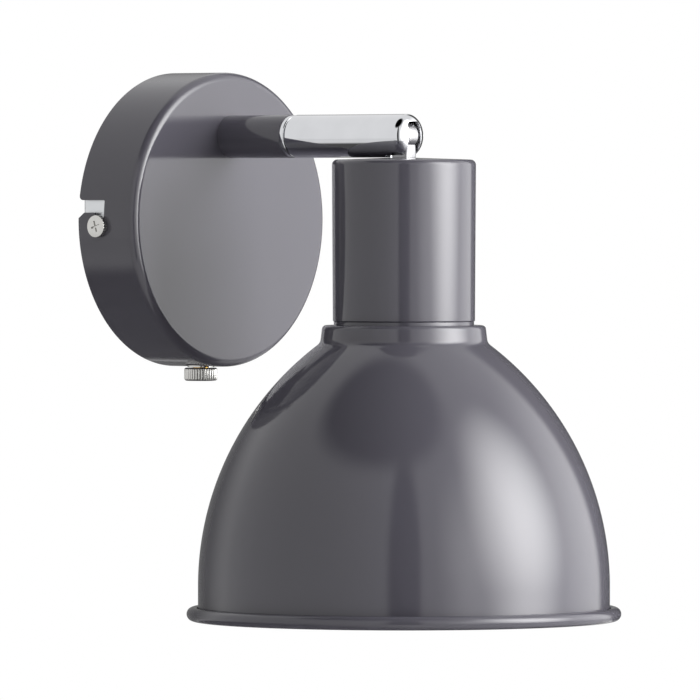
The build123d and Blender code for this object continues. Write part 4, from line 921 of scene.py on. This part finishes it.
# ---------------------------------------------------------------- bulb
def build_globe():
    """Opal bulb: a ball that runs into its neck."""
    centre = GLOBE_LOW.z + GLOBE_RADIUS
    joint = math.radians(GLOBE_JOINT)
    start = Vector((GLOBE_RADIUS * math.cos(joint), centre + GLOBE_RADIUS * math.sin(joint)))
    mouth = Vector((GLOBE_NECK, GLOBE_HIGH.z))
    bend = start + Vector((-math.sin(joint), math.cos(joint))) * ((mouth - start).length * 0.5)
    steps = 24
    shoulder = []
    for step in range(1, steps + 1):
        share = step / steps
        rest = 1 - share
        shoulder.append(tuple(start * rest ** 2 + bend * 2 * share * rest + mouth * share ** 2))
    outline = arc((0, centre), GLOBE_RADIUS, -90, GLOBE_JOINT, 60) + shoulder
    outline[0] = (0, outline[0][1])
    inside = [(max(x - GLOBE_GLASS, 0), z) for x, z in shoulder[::-1]]
    inside += arc((0, centre), GLOBE_RADIUS - GLOBE_GLASS, GLOBE_JOINT, -90, 40)
    inside[-1] = (0, inside[-1][1])
    lathe("globe_opal", outline + inside, "opal_glass", ["bulb_globe"], on_head(), closed=False)


# ---------------------------------------------------------------- stage
def face_target(holder, target, azimuth, elevation, distance):
    """Stand a holder off from the target, in the direction of the two angles, and turn it to face it."""
    back = Vector((math.sin(azimuth) * math.cos(elevation), -math.cos(azimuth) * math.cos(elevation),
                   math.sin(elevation)))
    holder.location = target + back * distance
    holder.rotation_euler = (-back).to_track_quat("-Z", "Y").to_euler()


def soft_box(name, power, azimuth, elevation, distance, size):
    """A soft rectangular light that faces the lamp; reflections don't see it, since they have cards."""
    light = bpy.data.lights.new(name, "AREA")
    light.shape = "RECTANGLE"
    light.size, light.size_y = size
    light.energy = power
    holder = bpy.data.objects.new(name, light)
    bpy.context.scene.collection.objects.link(holder)
    face_target(holder, AIM, math.radians(azimuth), math.radians(elevation), distance)
    holder.visible_camera = False
    holder.visible_glossy = False


def card_cloth(name, size, level, passing, core):
    """Card cloth, stretched and soft at its edge: it glows or holds light back most inside its core."""
    material, tree, output = start_material(name + "_cloth")
    place = add(tree, "ShaderNodeTexCoord").outputs["Object"]
    shares = (2 / size[0], 2 / size[1], 0.0)
    spot = add(tree, "ShaderNodeVectorMath", {0: place, 1: shares}, operation="MULTIPLY").outputs["Vector"]
    off = add(tree, "ShaderNodeVectorMath", {0: spot}, operation="LENGTH").outputs["Value"]
    glow = add(tree, "ShaderNodeMapRange", {"Value": off, "From Min": core, "From Max": 1.0, "To Min": 1.0,
                                            "To Max": 0.0}, interpolation_type="SMOOTHSTEP").outputs["Result"]
    clear = add(tree, "ShaderNodeBsdfTransparent", {"Color": between(tree, glow, 1.0, passing)}).outputs["BSDF"]
    light = add(tree, "ShaderNodeEmission", {"Strength": between(tree, glow, 0.0, level)}).outputs["Emission"]
    whole = add(tree, "ShaderNodeAddShader", {0: clear, 1: light}).outputs["Shader"]
    tree.links.new(whole, output.inputs["Surface"])
    return material


def card(name, target, azimuth, elevation, distance, size, level=0.0, passing=1.0, core=0.0):
    """A soft-edged studio card that only reflections see: it adds light, or as a flag holds light back."""
    body = bmesh.new()
    corners = [(-1, -1), (1, -1), (1, 1), (-1, 1)]
    body.faces.new([body.verts.new((x * size[0] / 2, y * size[1] / 2, 0)) for x, y in corners])
    board = link_mesh(name, body)
    face_target(board, target, math.radians(azimuth), math.radians(elevation), distance)
    board.data.materials.append(card_cloth(name, size, level, passing, core))
    for ray in ("camera", "diffuse", "transmission", "shadow"):
        setattr(board, "visible_" + ray, False)


def build_lights(stage):
    """The soft boxes, and the cards that stand for them and for the dark of the room in reflections."""
    powers = {"key_box": stage.key_power, "top_box": TOP_BOX_POWER}
    levels = {"key_shine": stage.key_shine, "side_shine": SIDE_SHINE, "front_shine": SIDE_SHINE}
    for name, place in BOXES.items():
        soft_box(name, powers[name], **place)
    for name, place in SHINES.items():
        card(name, AIM, level=levels[name], **place)
    for name, place in FLAGS.items():
        card(name, AIM, **place)
    card("floor_flag", BEHIND, **FLOOR_FLAG)


def seen_directly(tree, *kinds):
    """1 for the camera's rays and for those of the other kinds named, else 0."""
    path = add(tree, "ShaderNodeLightPath").outputs
    seen = path["Is Camera Ray"]
    for kind in kinds:
        seen = add(tree, "ShaderNodeMath", {0: seen, 1: path[kind]}, operation="MAXIMUM").outputs["Value"]
    return seen


def build_world(level):
    """White surroundings: fully white to the camera and in reflections, softer as a light."""
    world = bpy.data.worlds.new("white_studio")
    bpy.context.scene.world = world
    world.use_nodes = True
    tree = world.node_tree
    tree.nodes.clear()
    strength = between(tree, seen_directly(tree, "Is Glossy Ray", "Is Transmission Ray"), level, 1.0)
    surface = add(tree, "ShaderNodeBackground", {"Color": (1, 1, 1, 1), "Strength": strength})
    output = add(tree, "ShaderNodeOutputWorld")
    tree.links.new(surface.outputs["Background"], output.inputs["Surface"])


def build_floor(height):
    """Plain pale floor: near white to the camera, with the lamp's soft shadow kept."""
    body = bmesh.new()
    bmesh.ops.create_circle(body, cap_ends=True, segments=96, radius=FLOOR_RADIUS,
                            matrix=Matrix.Translation((0, 0, height)))
    floor = link_mesh("floor", body)
    material, tree, output = start_material("floor_painted")
    share = between(tree, seen_directly(tree, "Is Glossy Ray"), 0.0, FLOOR_GLOW)
    matt = add(tree, "ShaderNodeBsdfDiffuse", {"Color": linear("#EDEDED")}).outputs["BSDF"]
    glow = add(tree, "ShaderNodeEmission", {"Color": (1, 1, 1, 1), "Strength": 1.0}).outputs["Emission"]
    blend = add(tree, "ShaderNodeMixShader", {0: share, 1: matt, 2: glow}).outputs["Shader"]
    tree.links.new(blend, output.inputs["Surface"])
    floor.data.materials.append(material)


def build_camera(stage):
    """Camera at the photograph's viewing angle."""
    data = bpy.data.cameras.new("camera")
    data.sensor_width = SENSOR_WIDTH
    data.lens = stage.lens
    data.clip_end = VIEW_END
    camera = bpy.data.objects.new("camera", data)
    bpy.context.scene.collection.objects.link(camera)
    face_target(camera, Vector(stage.target), stage.azimuth, stage.elevation, stage.distance)
    bpy.context.scene.camera = camera


# ---------------------------------------------------------------- operators
class LAMP_OT_wall_cup(bpy.types.Operator):
    """Build the wall cup with its catches"""
    bl_idname = "lamp.wall_cup"
    bl_label = "Wall Cup"

    def execute(self, context):
        build_rose(context.scene.lamp_rose)
        return {"FINISHED"}


class LAMP_OT_cup_fasteners(bpy.types.Operator):
    """Build the side screws and finish the bracket, the earth terminal and the nipple"""
    bl_idname = "lamp.cup_fasteners"
    bl_label = "Bracket and Screws"

    def execute(self, context):
        build_side_screws(context.scene.lamp_rose)
        finish_nodes("zinc", "wall_bracket", "terminal_screws", "block_screw", "arm_nipple", "nipple_washer",
                     "nipple_nut")
        finish_nodes("brass", "earth_screw", "earth_washer")
        return {"FINISHED"}


class LAMP_OT_cup_electrics(bpy.types.Operator):
    """Finish the terminal block, the switch and the wires of the wall cup"""
    bl_idname = "lamp.cup_electrics"
    bl_label = "Terminal Block, Switch and Wires"

    def execute(self, context):
        finish_nodes("terminal_plastic", "terminal_block")
        finish_nodes("black_plastic", "switch_body")
        finish_nodes("nickel", "switch_bush", "switch_nut")
        finish_nodes("brown_wire", "lead_live", "lead_load")
        finish_nodes("black_wire", "lead_switched")
        finish_nodes("blue_wire", "lead_neutral")
        finish_nodes("earth_wire", "lead_earth")
        return {"FINISHED"}


class LAMP_OT_switch_knob(bpy.types.Operator):
    """Build the knurled knob of the switch and finish its spindle"""
    bl_idname = "lamp.switch_knob"
    bl_label = "Switch Knob"

    def execute(self, context):
        build_knob()
        finish_nodes("brass", "switch_spindle")
        return {"FINISHED"}


class LAMP_OT_arm_socket(bpy.types.Operator):
    """Build the painted socket and the chrome ring of the swivel"""
    bl_idname = "lamp.arm_socket"
    bl_label = "Arm Socket and Ring"

    def execute(self, context):
        build_socket(context.scene.lamp_arm)
        build_ring()
        finish_nodes("brass", "swivel_bush")
        finish_nodes("zinc", "wave_washer")
        return {"FINISHED"}


class LAMP_OT_turning_arm(bpy.types.Operator):
    """Build the chrome arm and its forked dome, and finish the pivot screw"""
    bl_idname = "lamp.turning_arm"
    bl_label = "Turning Arm"

    def execute(self, context):
        build_tube(context.scene.lamp_arm)
        build_knuckle(context.scene.lamp_arm)
        finish_nodes("chrome", "pivot_screw")
        finish_nodes("white_cable", "arm_cable")
        return {"FINISHED"}


class LAMP_OT_head_cup(bpy.types.Operator):
    """Build the lug, the lampholder cup and its neck ring"""
    bl_idname = "lamp.head_cup"
    bl_label = "Lug, Cup and Neck"

    def execute(self, context):
        build_stem(context.scene.lamp_arm)
        build_cup(context.scene.lamp_head)
        build_neck(context.scene.lamp_head)
        finish_nodes("zinc", "stem_washer", "stem_nut")
        return {"FINISHED"}


class LAMP_OT_shade(bpy.types.Operator):
    """Build the spun shade with its curled rim"""
    bl_idname = "lamp.shade"
    bl_label = "Shade"

    def execute(self, context):
        build_shade(context.scene.lamp_head)
        return {"FINISHED"}


class LAMP_OT_lampholder(bpy.types.Operator):
    """Finish the lampholder's pieces"""
    bl_idname = "lamp.lampholder"
    bl_label = "Lampholder"

    def execute(self, context):
        finish_nodes("holder_plastic", "lampholder_cap", "lampholder_body", "shade_clamp_ring")
        finish_nodes("brass", "socket_shell", "centre_contact")
        finish_nodes("ceramic", "contact_insert")
        finish_nodes("zinc", "holder_screws")
        finish_nodes("brown_wire", "holder_lead_live")
        finish_nodes("blue_wire", "holder_lead_neutral")
        return {"FINISHED"}


class LAMP_OT_bulb(bpy.types.Operator):
    """Build the opal bulb and finish its cap"""
    bl_idname = "lamp.bulb"
    bl_label = "Light Bulb"

    def execute(self, context):
        build_globe()
        finish_nodes("nickel", "bulb_cap")
        finish_nodes("black_plastic", "bulb_tip")
        return {"FINISHED"}


class LAMP_OT_stage(bpy.types.Operator):
    """Build the floor, the white surroundings, the lights and the camera"""
    bl_idname = "lamp.stage"
    bl_label = "Stage"

    def execute(self, context):
        stage = context.scene.lamp_stage
        context.scene.view_settings.view_transform = "Standard"
        build_world(stage.fill_level)
        build_floor(stage.floor_height)
        build_lights(stage)
        build_camera(stage)
        return {"FINISHED"}


class LAMP_PT_panel(bpy.types.Panel):
    """Lists the lamp's pieces and settings"""
    bl_label = "Wall Reading Lamp"
    bl_idname = "LAMP_PT_panel"
    bl_space_type = "VIEW_3D"
    bl_region_type = "UI"
    bl_category = "Lamp"

    def draw(self, context):
        for operator in OPERATORS:
            self.layout.operator(operator.bl_idname)
        for name, settings in SETTINGS.items():
            box = self.layout.box()
            box.label(text=settings.__doc__)
            for field in settings.__annotations__:
                box.prop(getattr(context.scene, name), field)


OPERATORS = (
    LAMP_OT_wall_cup,
    LAMP_OT_cup_fasteners,
    LAMP_OT_cup_electrics,
    LAMP_OT_switch_knob,
    LAMP_OT_arm_socket,
    LAMP_OT_turning_arm,
    LAMP_OT_head_cup,
    LAMP_OT_shade,
    LAMP_OT_lampholder,
    LAMP_OT_bulb,
    LAMP_OT_stage,
)


def register():
    """Register the settings, the operators and the panel."""
    for name, settings in SETTINGS.items():
        bpy.utils.register_class(settings)
        setattr(bpy.types.Scene, name, PointerProperty(type=settings))
    for operator in OPERATORS:
        bpy.utils.register_class(operator)
    bpy.utils.register_class(LAMP_PT_panel)


def unregister():
    """Take away what register added."""
    bpy.utils.unregister_class(LAMP_PT_panel)
    for operator in reversed(OPERATORS):
        bpy.utils.unregister_class(operator)
    for name, settings in SETTINGS.items():
        delattr(bpy.types.Scene, name)
        bpy.utils.unregister_class(settings)


def main():
    """Register everything and build the lamp piece by piece."""
    register()
    make_materials(bpy.context.scene.lamp_finish)
    for operator in OPERATORS:
        category, name = operator.bl_idname.split(".")
        getattr(getattr(bpy.ops, category), name)()


if __name__ == "__main__":
    main()
